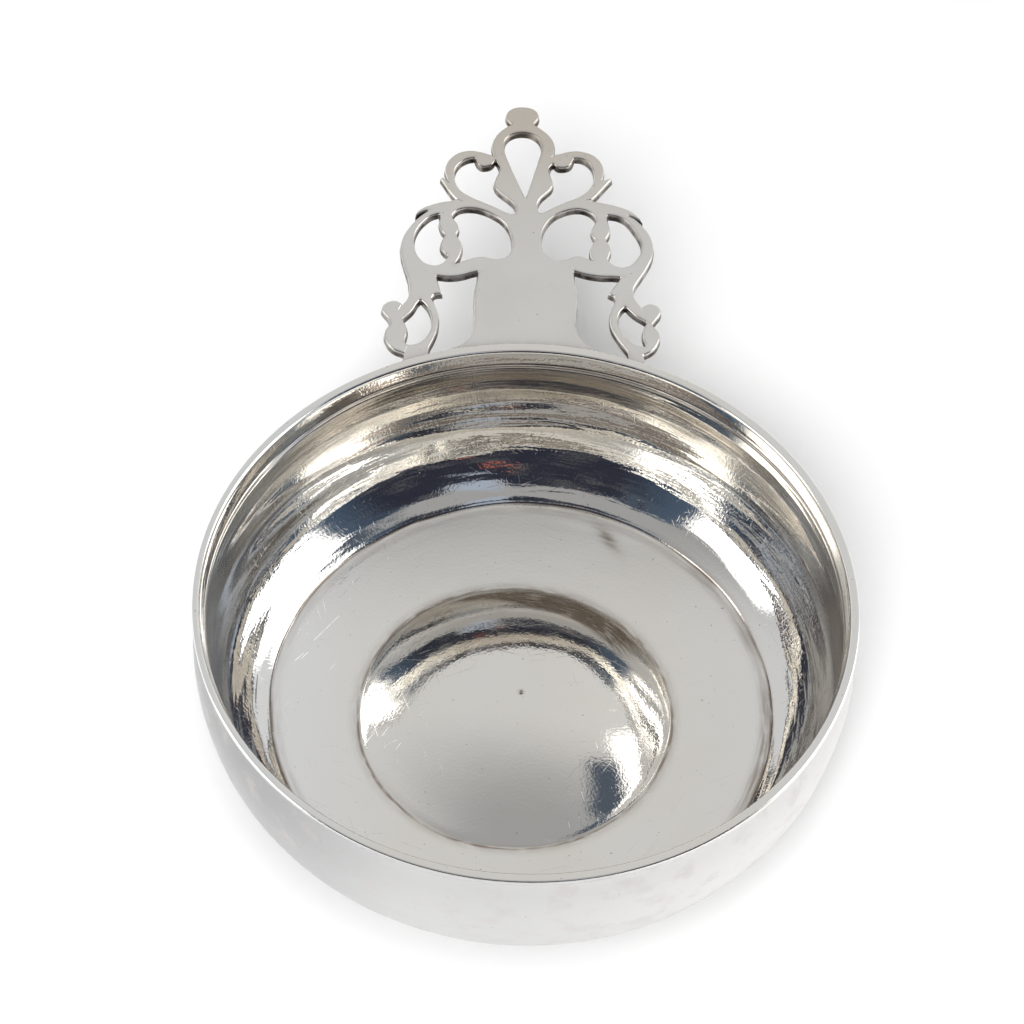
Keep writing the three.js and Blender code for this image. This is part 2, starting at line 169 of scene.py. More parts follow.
def dish_z(r):
    """Floor between the dome and the wall: it climbs outwards, steeper as it goes."""
    x = (np.asarray(r, float) - DOME_R) / (CREASE_R - DOME_R)
    return DOME_FOOT + (CREASE_Z - DOME_FOOT) * (0.64 * x + 0.36 * x * x)


def arc(centre, a, b, start, stop, n):
    """Points on an ellipse about centre, from angle start to stop in degrees."""
    t = np.radians(np.linspace(start, stop, n))
    return np.column_stack([centre[0] + a * np.cos(t), centre[1] + b * np.sin(t)])


def bowl_profile():
    """(radius, height) pairs from the middle of the underside, round the rim, to the top of the dome."""
    under = [[r, float(dome_z(r)) - DOME_WALL * 1.02] for r in np.linspace(0.0, 29.8, 24)]
    under += [[30.6, 1.06], [31.2, 0.66], [31.7, 0.36], [32.1, 0.15], [32.45, 0.04]]
    ring = [[r, 0.0] for r in (32.8, 33.3, 33.8, 34.3, 34.6)]
    belly = spline([[34.95, 0.03], [35.5, 0.17], [36.5, 0.52], [38.5, 1.08], [41.5, 1.9], [45.0, 2.9], [48.5, 4.02],
                    [51.5, 5.12], [53.8, 6.15], [56.4, 7.75], [58.8, 9.75], [61.2, 12.5], [63.2, 16.2], [64.7, 20.4],
                    [65.7, 24.4], [66.3, 28.4], [66.45, 31.9], [66.2, 35.2], [65.5, 38.0], [64.9, 39.7],
                    [64.68, 40.9], [65.0, 41.9], [65.6, 42.55]], 0.7)
    rim = np.vstack([
        [[65.88, H - 1.35], [66.0, H - 0.95], [66.0, H - 0.6]],
        arc((65.55, H - 0.45), 0.45, 0.45, 8.0, 90.0, 7),
        [[65.28, H + 0.012], [65.0, H + 0.006]],
        arc((64.46, H - 0.85), 0.70, 0.85, 90.0, 176.0, 10),
    ])
    collar = spline([[63.74, H - 1.1], [63.68, H - 1.7], [63.59, H - 2.6], [63.50, H - 3.5], [63.46, H - 3.95]], 0.5)
    crease = [[63.50, H - 4.08], [63.48, H - 4.2], [63.38, H - 4.36], [63.42, H - 4.52], [63.54, H - 4.68],
              [63.50, H - 4.82], [63.47, H - 5.1]]
    wall = spline([[63.46, H - 5.5], [63.73, H - 6.47], [63.98, H - 7.95], [64.47, H - 9.86], [64.92, H - 12.61],
                   [65.16, H - 15.8], [64.88, H - 19.62], [64.20, H - 23.75], [62.57, H - 27.53], [60.31, H - 30.98],
                   [57.66, H - 33.95], [55.08, H - 36.15], [53.30, H - 37.17]], 0.62)
    gutter = [[52.95, 6.82], [52.76, 6.71], [52.6, 6.63], [52.48, 6.52], [52.36, 6.39], [52.25, 6.29], [52.1, 6.25],
              [51.85, 6.215], [51.5, 6.13], [51.0, 5.97], [50.4, 5.75], [49.7, 5.50]]
    floor = [[r, float(dish_z(r))] for r in np.linspace(48.9, 34.6, 19)]
    foot = [[34.1, 1.27], [33.7, 1.165], [33.3, 1.07], [33.0, 0.995], [32.75, 0.955], [32.5, 1.0], [32.2, 1.18], [31.85, 1.41]]
    dome = [[r, float(dome_z(r))] for r in np.linspace(31.3, 1.5, 46)]
    dome += [[r, float(dome_z(r))] for r in (1.1, 0.8, 0.6, 0.45, 0.33, 0.22, 0.1, 0.0)]
    rows = [np.asarray(x, float) for x in (under, ring, belly, rim, collar, crease, wall, gutter, floor, foot, dome)]
    marks, start = {}, 0
    for key, part in zip("under ring belly rim collar crease wall gutter floor foot dome".split(), rows):
        marks[key] = (start, start + len(part))
        start += len(part)
    return np.vstack(rows), marks


# dents inside the bowl: turn round the axis from +X (degrees), height, width round and along (mm), depth (mm)
DENTS = [
    (107.5, 16.2, 2.0, 1.3, 0.085),
    (105.2, 18.2, 1.6, 1.8, -0.050),
    (63.0, 9.2, 1.4, 1.0, 0.080),
    (131.0, 22.0, 5.0, 2.2, 0.035),
    (48.0, 25.0, 6.0, 2.4, 0.035),
    (152.0, 17.0, 4.0, 3.0, 0.030),
    (24.0, 20.0, 4.5, 2.5, -0.025),
    (81.0, 27.5, 7.0, 1.6, 0.030),
    (99.0, 30.5, 8.0, 1.4, -0.028),
]


# broad hollows and swellings of the wall at both sides: turn round the axis, then mm in or out every 3 mm down the wall
SIDES = [
    (2.0, (0.00, 0.00, 0.40, -0.10, -0.10, -0.30, -0.20, 0.00, -0.20, 0.00, -0.10)),
    (36.0, (-0.15, -0.15, 0.40, -0.30, -0.40, 0.00, 0.00, -0.40, 0.20, 0.10, 0.00)),
    (144.0, (0.15, 0.25, 0.20, 0.00, -0.40, 0.00, 0.00, -0.40, 0.40, 0.00, -0.05)),
    (180.0, (-0.20, 0.00, -0.40, 0.40, 0.00, 0.00, 0.00, 0.00, -0.45, -0.40, -0.40)),
]

# shallow ledges left by the hammer in the wall below the handle: height (mm) and how far the wall leans there (degrees)
LEDGES = [(38.5, 0.0), (37.5, -5.2), (34.0, -5.2), (33.0, 0.0), (32.3, 3.8), (31.3, 2.6), (30.2, 0.4), (29.5, -2.2),
          (29.1, 1.0), (28.7, 4.5), (28.2, 3.0), (27.3, 0.5), (26.0, 0.0), (25.5, 4.0), (25.1, 9.5), (23.1, 9.5),
          (22.8, 4.0), (22.4, 0.0), (21.8, 0.0), (21.5, 6.0), (20.7, 6.0), (20.3, 0.0), (19.5, -0.8), (13.0, -0.8),
          (12.0, 0.0)]


def build_bowl():
    steps = 512
    profile, marks = bowl_profile()
    profile[0, 0] = profile[-1, 0] = 0.0
    n = len(profile)
    turns = np.arange(steps) / steps
    run = np.concatenate([[0.0], np.cumsum(np.linalg.norm(np.diff(profile, axis=0), axis=1))])
    v = run / run[-1]
    tangent = np.gradient(profile, axis=0)
    tangent /= np.linalg.norm(tangent, axis=1)[:, None]
    outward = np.column_stack([tangent[:, 1], -tangent[:, 0]])   # away from the metal

    U, V = np.meshgrid(turns, v, indexing="ij")
    R = np.tile(profile[:, 0], (steps, 1))
    Z = np.tile(profile[:, 1], (steps, 1))
    angle = U * TAU
    row = np.arange(n)[None, :]

    def zone(*names):
        w = np.zeros(n)
        for key in names:
            w[marks[key][0]:marks[key][1]] = 1.0
        k = np.array([1, 4, 6, 4, 1], float) / 16.0
        return np.convolve(np.pad(w, 2, mode="edge"), k, mode="valid")[None, :]

    def turned(degrees, wide):
        """1 at a turn from +X, fading to 0 either side of it."""
        away = np.mod(angle - math.radians(degrees) + math.pi, TAU) - math.pi
        return np.exp(-(away / math.radians(wide)) ** 2)

    # marks of the raising hammer and of polishing, drawn out round the bowl
    push = zone("wall") * (0.080 * relief(3, 11, 26)(U, V) + 0.045 * relief(4, 24, 62)(U, V)
                           + 0.014 * relief(16, 40, 170)(U, V))
    push = push + zone("collar") * (0.020 * relief(24, 14, 60)(U, V) + 0.006 * relief(25, 44, 170)(U, V))
    push = push + zone("belly") * (0.050 * relief(5, 26, 30)(U, V) + 0.015 * relief(6, 60, 60)(U, V))
    push = push + zone("floor", "gutter", "foot") * (0.018 * relief(7, 14, 30)(U, V) + 0.004 * relief(17, 40, 90)(U, V))
    push = push + zone("dome") * (0.020 * relief(8, 9, 26)(U, V) + 0.004 * relief(18, 30, 90)(U, V)) \
        * smoothstep(0.0, 9.0, R)
    push = push + zone("rim") * (0.020 * relief(9, 40, 24)(U, V))
    for turn, height, wide, tall, deep in DENTS:
        across = (np.mod(angle - math.radians(turn) + math.pi, TAU) - math.pi) * R
        push = push + zone("wall") * deep * np.exp(-(across / wide) ** 2 - ((Z - height) / tall) ** 2)
    down = (run - run[marks["wall"][0]])[None, :]
    for turn, values in SIDES:
        swell = sum(h * bump(down, -3.0 + 3.0 * k, 2.4) for k, h in enumerate(values))
        push = push + zone("wall", "crease", "collar") * turned(turn, 24.0) * swell
    drop = np.linspace(39.0, 11.0, 561)
    lean = np.tan(np.radians(np.interp(-drop, [-h for h, _ in LEDGES], [t for _, t in LEDGES])))
    ledge = np.concatenate([[0.0], np.cumsum(0.5 * (lean[1:] + lean[:-1]) * -np.diff(drop))])
    ledge = np.interp(-(Z + 0.50 * relief(27, 13, 2)(U, U * 0)), -drop, ledge)
    push = push + zone("wall") * turned(92.0, 36.0) * ledge
    # faint second lines beside both creases, here and there
    here = np.clip(relief(19, 13, 2)(U, U * 0) * 1.6, 0.0, 1.0)
    push = push - 0.030 * here * bump(R, 34.35, 0.32) * zone("foot", "floor")
    here = np.clip(relief(20, 11, 2)(U, U * 0) * 1.6, 0.0, 1.0)
    push = push - 0.030 * here * bump(R, 36.0, 0.35) * zone("foot", "floor")
    here = np.clip(relief(22, 15, 2)(U, U * 0) * 1.6, 0.0, 1.0)
    push = push - 0.030 * here * bump(R, 49.6, 0.40) * zone("gutter", "floor")
    R = R + push * outward[:, 0][None, :]
    Z = Z + push * outward[:, 1][None, :]

    # the rim thins out to the left and a little to the right, where the collar flares up to it;
    # at the handle it is thickest and the collar is straight
    reach = np.zeros(n)
    a, b = marks["rim"]
    reach[a:b] = np.clip((65.35 - profile[a:b, 0]) / 0.9, 0.0, 1.0)
    a, b = marks["collar"]
    reach[a:b] = np.clip((profile[a:b, 1] - (H - 3.95)) / 2.85, 0.0, 1.0)
    R = R + reach[None, :] * (0.75 * turned(192.0, 50.0) + 0.35 * turned(345.0, 45.0)
                                - 0.20 * turned(90.0, 48.0))

    # creases were set by eye, so they wander a little
    wander = relief(12, 17, 2)(U, U * 0) * 0.30 + relief(13, 43, 2)(U, U * 0) * 0.10
    R = R + wander * bump(R, CREASE_R, 3.0) * (Z < 12.0)
    wander = relief(14, 9, 2)(U, U * 0) * 0.42 + relief(15, 31, 2)(U, U * 0) * 0.16
    R = R + wander * bump(R, DOME_R, 3.2) * (row >= marks["floor"][0])

    # the sheet keeps about 0.65 mm at least: where the wall is hollowed deeply, the outside swells with it
    a, b = marks["belly"]
    gap = np.full((steps, b - a), 9.0)
    for j in range(marks["collar"][0], marks["gutter"][1]):
        for t in np.arange(6) / 6.0:
            wall_r = R[:, j] * (1.0 - t) + R[:, j + 1] * t
            wall_z = Z[:, j] * (1.0 - t) + Z[:, j + 1] * t
            gap = np.minimum(gap, np.hypot(R[:, a:b] - wall_r[:, None], Z[:, a:b] - wall_z[:, None]))
    swell = np.maximum(0.0, 0.65 - gap)
    for axis, reach_k in ((0, 6), (1, 3)):
        near_by = range(-reach_k, reach_k + 1)
        swell = np.max([np.roll(swell, k, axis) for k in near_by], axis=0)
        swell = np.mean([np.roll(swell, k, axis) for k in near_by], axis=0)
    R[:, a:b] += swell * outward[a:b, 0]
    Z[:, a:b] += swell * outward[a:b, 1]

    # the dome was struck up by eye: its shoulder is soft to the left, steeper at the far right
    rho = np.clip(R / DOME_R, 0.0, 1.0)
    lean = 1.25 * turned(208.0, 48.0) + 0.30 * turned(328.0, 40.0) - 0.40 * turned(52.0, 30.0)
    Z = Z - ((row >= marks["foot"][0]) | (row < marks["under"][1])) * lean * 9.48 * rho ** 3 * (1.0 - rho)

    x, y = R * np.cos(angle), R * np.sin(angle)
    # the dome is a little off centre, and the centre punch's mark is not quite on top of it
    x = x + DOME_SHIFT * np.clip((CREASE_R - 2.0 - R) / (CREASE_R - 2.0 - DOME_R - 3.0), 0.0, 1.0)
    on_top = row >= marks["dome"][0]
    x = x + on_top * 1.2 * (1.0 - smoothstep(0.0, 16.0, R))
    true_r = np.minimum(np.hypot(x - DOME_SHIFT, y), DOME_R)
    Z = Z + on_top * (dome_z(true_r) - dome_z(np.minimum(R, DOME_R))) * (R < 18.0)
    Z = Z - on_top * (0.20 * np.exp(-(R / 0.42) ** 2) - 0.03 * np.exp(-((R - 0.80) / 0.22) ** 2))
    Z = np.where(row < marks["belly"][0], np.maximum(Z, 0.0), Z)

    grid = np.stack([x, y + AXIS_Y, Z], axis=-1)
    inner = n - 2

    def spread(values):
        """One value per mesh point from a grid of turns by profile rows."""
        values = np.asarray(values, float)
        return np.concatenate([values[0, :1], values[:, 1:-1].reshape((-1,) + values.shape[2:]), values[0, -1:]])

    def at(i, j):
        return 1 + (i % steps) * inner + (j - 1)
    points = spread(grid)
    last = len(points) - 1
    faces, uv = [], []
    for i in range(steps):
        u0, u1 = i / steps, (i + 1) / steps
        faces.append((0, at(i + 1, 1), at(i, 1)))
        uv += [(0.5 * (u0 + u1), v[0]), (u1, v[1]), (u0, v[1])]
        for j in range(1, n - 2):
            faces.append((at(i, j), at(i + 1, j), at(i + 1, j + 1), at(i, j + 1)))
            uv += [(u0, v[j]), (u1, v[j]), (u1, v[j + 1]), (u0, v[j + 1])]
        faces.append((at(i, n - 2), at(i + 1, n - 2), last))
        uv += [(u0, v[n - 2]), (u1, v[n - 2]), (0.5 * (u0 + u1), v[n - 1])]

    # where tarnish gathers: both creases of the floor, the collar's lines, the punch mark, the underside
    rr, zz = np.tile(profile[:, 0], (steps, 1)), np.tile(profile[:, 1], (steps, 1))
    inside = (row >= marks["collar"][0]) * 1.0
    broken = 0.5 + 0.5 * np.clip(1.5 * relief(23, 37, 2)(U, U * 0), -1.0, 1.0)
    heavy = 0.30 + 0.70 * turned(-10.0, 75.0)
    tarnish_and_shade = inside * ((0.45 + 0.5 * broken) * bump(rr, 52.25, 0.34) * (zz < 9.0)
                      + heavy * (0.35 + 0.4 * broken) * bump(rr, 51.1, 0.95) * (zz < 9.0)
                      + (0.45 + 0.5 * broken) * bump(rr, 32.9, 0.34) * (zz < 2.2) + 0.22 * bump(rr, 33.6, 0.9) * (zz < 2.2)
                      + 0.55 * bump(zz, H - 4.4, 0.30) * (rr > 60.0) + 0.34 * turned(90.0, 42.0) * bump(zz, H - 9.0, 4.6) * (rr > 60.0) + on_top * 1.2 * np.exp(-(rr / 0.52) ** 2))
    tarnish_and_shade = tarnish_and_shade + (row < marks["belly"][0]) * 0.35
    # brown film along the far right of the dome's edge, and a smudge on the floor beyond it
    turn = np.degrees(angle)
    edge = 25.3 + 5.6 * smoothstep(76.0, 118.0, turn) + 0.5 * relief(26, 23, 2)(U, U * 0)
    film = smoothstep(edge - 0.7, edge + 0.7, rr) * smoothstep(24.0, 40.0, turn) * smoothstep(122.0, 108.0, turn)
    tarnish_and_shade = tarnish_and_shade + on_top * 0.95 * film
    along = np.radians(turn - 66.0) * rr
    smudge = np.exp(-(along / 3.4) ** 2 - ((rr - 48.0 - 0.47 * along) / 1.1) ** 2)
    tarnish_and_shade = tarnish_and_shade + inside * (zz < 9.0) * 0.85 * smudge
    # how far the polishing streaks show, how much of the surface is the outside
    streak = np.zeros(n)
    for key, value in dict(under=0.6, ring=0.3, belly=0.55, rim=0.3, collar=0.8, crease=0.7, wall=1.0, gutter=0.5,
                           floor=0.16, foot=0.3, dome=0.10).items():
        streak[marks[key][0]:marks[key][1]] = value
    streak = np.convolve(np.pad(streak, 3, mode="edge"), np.ones(7) / 7.0, mode="valid")
    outer = 1.0 - smoothstep(marks["rim"][0] - 1.0, marks["rim"][0] + 3.0, row - 5.0 * turned(266.0, 34.0))
    ring = np.stack([np.cos(angle), np.sin(angle), np.tile(run, (steps, 1))], axis=-1)
    return mesh_piece("bowl_shell", points, faces, [
        ("tarnish_and_shade", spread(tarnish_and_shade)), ("streak", spread(np.tile(streak, (steps, 1)))),
        ("outer", spread(outer)), ("ring", spread(ring))], uv)


# ---- handle --------------------------------------------------------------------------
# Drawn flat: x across, y from the rim to the tip. Each line is a smooth run, and runs
# meet in sharp corners. The halves are near twins, sawn and filed by hand.

HANDLE_OUTLINE = [
    [[-2.5, 65.15], [-3.2, 65.9], [-3.7, 66.9], [-3.75, 68.2], [-3.0, 69.6], [-1.6, 70.4], [0.05, 70.6], [1.7, 70.35],
     [3.0, 69.5], [3.6, 68.2], [3.5, 66.9], [2.95, 65.9], [2.35, 65.2]],
    [[2.35, 65.2], [3.3, 64.6], [4.6, 63.4], [5.85, 62.0], [6.65, 60.6], [7.1, 59.2], [7.05, 57.6], [6.9, 56.0]],
    [[6.9, 56.0], [8.3, 56.35], [9.6, 56.9], [10.9, 57.2], [12.2, 57.3], [13.6, 57.1], [14.9, 56.6], [16.0, 55.9],
     [16.9, 54.9], [17.6, 53.7], [18.0, 52.4], [18.1, 51.2], [17.95, 50.0], [17.65, 48.3]],
    [[17.65, 48.3], [18.7, 48.85], [19.5, 49.15], [19.85, 48.9], [19.3, 48.1], [18.4, 46.8], [17.2, 45.1], [16.1, 43.6],
     [15.0, 42.4]],
    [[15.0, 42.4], [16.2, 42.1], [17.8, 41.75], [19.5, 41.35], [21.1, 40.85], [22.7, 40.15], [24.0, 39.3], [25.0, 38.3],
     [25.8, 37.2], [26.3, 36.2]],
    [[26.3, 36.2], [25.4, 37.0], [24.4, 37.6], [23.2, 38.15]],
    [[23.2, 38.15], [24.5, 37.35], [25.4, 36.4], [26.2, 35.3], [27.0, 34.0], [27.7, 32.6], [28.2, 31.0], [28.45, 29.3],
     [28.35, 27.4], [27.95, 25.5], [27.25, 23.7], [26.4, 21.9], [25.45, 20.2], [24.5, 18.5], [23.85, 17.0],
     [23.7, 15.7], [24.0, 14.4], [24.6, 13.1], [25.4, 12.0]],
    [[25.4, 12.0], [26.4, 12.7], [27.6, 12.95], [28.6, 12.6], [29.3, 11.8], [29.5, 10.7], [29.2, 9.7], [28.5, 8.6],
     [27.5, 7.05]],
    [[27.5, 7.05], [28.2, 6.2], [28.8, 5.2], [29.05, 4.2], [29.0, 3.2], [28.6, 1.9], [27.9, 0.6], [26.9, -0.4],
     [25.35, -1.35]],
    [[25.35, -1.35], [25.7, -2.6], [26.1, -6.0]],
    [[26.1, -6.0], [21.4, -6.0]],
    [[21.4, -6.0], [22.2, -1.0], [21.3, 0.8], [20.4, 2.3], [19.6, 3.9], [18.95, 5.4], [18.55, 7.0], [18.45, 8.6],
     [18.6, 10.3], [19.0, 11.8], [19.7, 13.8]],
    [[19.7, 13.8], [19.6, 14.7], [18.3, 15.55]],
    [[18.3, 15.55], [19.3, 17.2], [20.3, 18.8], [21.1, 20.25]],
    [[21.1, 20.25], [19.1, 20.4], [17.0, 20.4], [15.0, 20.65], [13.1, 21.1], [10.95, 21.9]],
    [[10.95, 21.9], [11.0, 20.0], [11.25, 17.8], [11.45, 15.0], [11.45, 12.5], [11.2, 9.8], [11.05, 7.4], [11.2, 5.6],
     [11.7, 3.9], [12.6, 2.4], [13.8, 1.0], [15.3, -0.3], [17.5, -1.6], [19.0, -6.0]],
    [[19.0, -6.0], [-19.0, -6.0]],
    [[-19.0, -6.0], [-17.6, -1.2], [-15.5, -0.1], [-14.1, 0.7], [-12.9, 1.6], [-12.0, 2.6], [-11.35, 3.95], [-10.95, 5.5],
     [-10.75, 7.4], [-10.65, 10.0], [-10.75, 12.5], [-10.7, 14.8], [-10.5, 17.2], [-10.15, 19.5], [-9.95, 21.4]],
    [[-9.95, 21.4], [-11.4, 20.95], [-12.9, 20.35], [-14.6, 19.9], [-16.6, 19.75], [-18.95, 20.05]],
    [[-18.95, 20.05], [-18.7, 18.4], [-18.3, 16.9], [-17.75, 15.0]],
    [[-17.75, 15.0], [-19.3, 14.75], [-19.95, 13.6]],
    [[-19.95, 13.6], [-19.2, 12.0], [-18.7, 10.3], [-18.4, 8.6], [-18.4, 7.0], [-18.6, 5.2], [-19.0, 3.4], [-19.6, 1.7],
     [-20.4, -0.5], [-20.2, -6.0]],
    [[-20.2, -6.0], [-26.3, -6.0]],
    [[-26.3, -6.0], [-25.85, -3.4], [-25.6, -1.75]],
    [[-25.6, -1.75], [-26.6, -1.3], [-27.7, -0.75], [-28.7, 0.2], [-29.4, 1.5], [-29.85, 2.8], [-29.85, 4.0],
     [-29.5, 5.1], [-28.65, 6.4]],
    [[-28.65, 6.4], [-29.2, 8.0], [-30.0, 9.1], [-30.6, 10.2], [-30.5, 11.3], [-29.7, 12.3], [-28.6, 12.85],
     [-27.4, 12.8], [-26.2, 12.0]],
    [[-26.2, 12.0], [-25.5, 12.9], [-25.0, 14.2], [-24.8, 15.8], [-24.95, 17.8], [-25.3, 19.7], [-25.85, 21.7],
     [-26.35, 23.6], [-26.75, 25.6], [-26.95, 27.6], [-26.85, 29.4], [-26.4, 31.3], [-25.6, 33.1], [-24.7, 34.6],
     [-23.7, 36.1], [-22.5, 37.5], [-21.0, 38.9]],
    [[-21.0, 38.9], [-22.3, 38.35], [-23.85, 37.2]],
    [[-23.85, 37.2], [-23.6, 38.2], [-22.9, 39.1], [-21.9, 39.85], [-20.6, 40.5], [-19.1, 41.1], [-17.5, 41.55],
     [-16.2, 41.75], [-15.0, 42.35]],
    [[-15.0, 42.35], [-15.8, 43.5], [-16.6, 44.8], [-17.4, 46.4], [-18.1, 47.7], [-18.45, 48.5], [-18.1, 48.8],
     [-17.4, 48.3], [-16.6, 47.3]],
    [[-16.6, 47.3], [-17.1, 49.0], [-17.5, 50.6], [-17.4, 52.0], [-17.0, 53.4], [-16.2, 54.7], [-15.1, 55.8],
     [-13.8, 56.55], [-12.4, 56.9], [-11.0, 56.9], [-9.6, 56.6], [-8.3, 56.2], [-6.5, 55.4]],
    [[-6.5, 55.4], [-6.9, 57.0], [-7.0, 58.6], [-6.65, 60.2], [-5.9, 61.9], [-4.8, 63.3], [-3.5, 64.5], [-2.5, 65.15]],
]

HANDLE_HOLES = [
    # teardrop to hang it by
    [[[0.45, 42.9], [-0.3, 45.0], [-1.5, 48.4], [-2.4, 51.0], [-3.1, 53.2], [-3.75, 55.2], [-4.2, 57.2], [-4.25, 59.0],
      [-3.9, 60.3], [-3.0, 61.5], [-1.6, 62.35], [0.05, 62.6], [1.6, 62.3], [2.9, 61.4], [3.8, 60.1], [4.2, 58.6],
      [4.1, 57.0], [3.7, 55.3], [3.1, 53.0], [2.5, 50.6], [1.8, 47.8], [1.1, 45.1], [0.45, 42.9]]],
    # hearts beside it
    [[[-10.9, 54.75], [-12.1, 54.5], [-13.2, 53.9], [-14.2, 52.95], [-14.95, 51.75], [-15.4, 50.2], [-15.35, 48.4],
      [-14.9, 46.7], [-14.2, 45.3], [-13.2, 44.25], [-11.8, 43.2], [-10.0, 42.1], [-8.0, 41.05], [-6.0, 39.95],
      [-4.2, 38.85], [-2.9, 38.25], [-2.0, 38.3], [-1.6, 39.2], [-1.75, 40.2], [-2.5, 41.5], [-3.5, 42.6],
      [-4.6, 43.7], [-5.6, 44.75], [-6.3, 45.9], [-6.5, 47.1], [-6.2, 48.5], [-5.7, 49.9], [-5.3, 51.1], [-5.4, 52.2],
      [-6.25, 54.0]],
     [[-6.25, 54.0], [-6.6, 53.2], [-7.3, 52.5], [-8.3, 52.1], [-9.2, 52.1], [-10.0, 52.65], [-10.5, 53.6],
      [-10.9, 54.75]]],
    [[[6.75, 53.2], [6.0, 52.1], [5.85, 50.9], [6.15, 49.4], [6.55, 48.1], [6.6, 46.8], [6.1, 45.5], [5.2, 44.4],
      [4.1, 43.2], [3.4, 41.9], [3.05, 40.6], [3.2, 39.4], [3.6, 38.7], [4.4, 38.8], [5.7, 39.65], [7.1, 40.6],
      [8.7, 41.55], [10.3, 42.4], [12.0, 43.3], [13.3, 44.3], [14.4, 45.5], [15.2, 46.9], [15.7, 48.3], [15.9, 49.7],
      [15.8, 51.1], [15.45, 52.4], [14.75, 53.6], [13.8, 54.5], [12.7, 54.95], [11.5, 55.0]],
     [[11.5, 55.0], [11.15, 54.0], [10.7, 53.0], [9.9, 52.3], [8.8, 52.1], [7.7, 52.25], [6.75, 53.2]]],
    # inside the arms, either side of the beaded bars
    [[[-18.65, 37.95], [-20.0, 37.4], [-21.1, 36.55], [-22.0, 35.5], [-22.8, 34.3], [-23.45, 32.9], [-23.9, 31.4],
      [-24.1, 29.8], [-23.9, 28.1], [-23.5, 26.5], [-22.8, 25.1], [-21.9, 24.0], [-20.7, 23.3], [-19.3, 23.05],
      [-18.1, 23.5], [-17.2, 24.4], [-16.5, 25.9]],
     [[-16.5, 25.9], [-17.4, 26.6], [-18.05, 27.7], [-18.25, 28.9], [-18.0, 30.1], [-17.2, 31.85]],
     [[-17.2, 31.85], [-17.9, 32.7], [-18.4, 34.0], [-18.6, 35.5], [-18.45, 36.8], [-18.65, 37.95]]],
    [[[-15.75, 37.1], [-15.3, 38.2], [-14.4, 39.1], [-13.3, 39.55], [-12.0, 39.7], [-10.7, 39.6], [-9.3, 39.2],
      [-7.8, 38.5], [-6.4, 37.6], [-5.2, 36.6], [-4.1, 35.3], [-3.35, 33.9], [-2.85, 32.4], [-2.55, 30.7],
      [-2.55, 29.0], [-2.8, 27.6], [-3.4, 26.4], [-4.3, 25.5], [-5.6, 25.15], [-7.0, 25.25], [-8.3, 25.65],
      [-9.6, 25.7], [-11.0, 25.35], [-12.6, 24.7], [-14.9, 23.6]],
     [[-14.9, 23.6], [-14.2, 25.0], [-13.75, 26.6], [-13.5, 28.2], [-13.65, 29.6], [-14.8, 31.8]],
     [[-14.8, 31.8], [-14.4, 32.9], [-14.3, 33.9], [-14.6, 35.1], [-15.3, 36.2], [-15.75, 37.1]]],
    [[[16.15, 36.6], [15.7, 37.8], [14.7, 38.9], [13.5, 39.6], [12.0, 39.85], [10.6, 39.65], [9.3, 39.2], [8.0, 38.5],
      [6.8, 37.6], [5.7, 36.3], [4.85, 34.8], [4.2, 33.1], [3.9, 31.4], [3.95, 29.8], [4.3, 28.2], [5.0, 26.8],
      [6.0, 25.7], [7.2, 25.2], [8.6, 25.2], [9.9, 25.6], [11.2, 26.2], [12.4, 26.15], [13.7, 25.7], [15.1, 24.95]],
     [[15.1, 24.95], [14.65, 26.3], [14.5, 27.7], [14.8, 29.1], [15.75, 30.95]],
     [[15.75, 30.95], [15.1, 32.3], [14.95, 33.6], [15.3, 34.9], [16.15, 36.6]]],
    [[[18.65, 38.2], [19.9, 38.05], [21.1, 37.65], [22.2, 36.95], [23.1, 35.9], [23.9, 34.6], [24.65, 33.2],
      [25.3, 31.8], [25.75, 30.4], [25.9, 29.0], [25.65, 27.5], [25.0, 26.1], [24.2, 24.8], [23.1, 23.75],
      [21.7, 23.25], [20.3, 23.5], [19.2, 24.15], [18.4, 25.1]],
     [[18.4, 25.1], [18.75, 26.5], [19.1, 27.9], [18.9, 29.3], [18.1, 31.0]],
     [[18.1, 31.0], [18.8, 32.5], [19.05, 33.9], [18.8, 35.5], [18.55, 36.9], [18.65, 38.2]]],
    # the feet's scrolls
    [[[-22.35, 13.2], [-23.0, 12.2], [-23.6, 10.9], [-24.4, 9.6], [-25.3, 8.6], [-25.95, 7.9]],
     [[-25.95, 7.9], [-25.6, 6.6], [-25.1, 5.2], [-25.1, 3.8], [-25.4, 2.4], [-25.45, 1.4], [-24.8, 0.85],
      [-23.7, 0.9], [-22.5, 1.4], [-21.4, 2.5], [-20.6, 3.7], [-20.0, 5.2], [-19.8, 6.8], [-19.9, 8.6], [-20.4, 10.3],
      [-21.2, 11.8], [-22.35, 13.2]]],
    [[[21.9, 12.0], [21.1, 11.1], [20.5, 9.9], [20.2, 8.5], [20.2, 7.0], [20.7, 5.3], [21.5, 3.9], [22.5, 2.7],
      [23.6, 1.75], [24.8, 1.1], [25.7, 1.15], [25.95, 1.8], [25.6, 2.9], [25.4, 4.2], [25.6, 6.0], [26.35, 7.75]],
     [[26.35, 7.75], [25.2, 8.65], [24.1, 9.45], [23.0, 10.6], [21.9, 12.0]]],
]

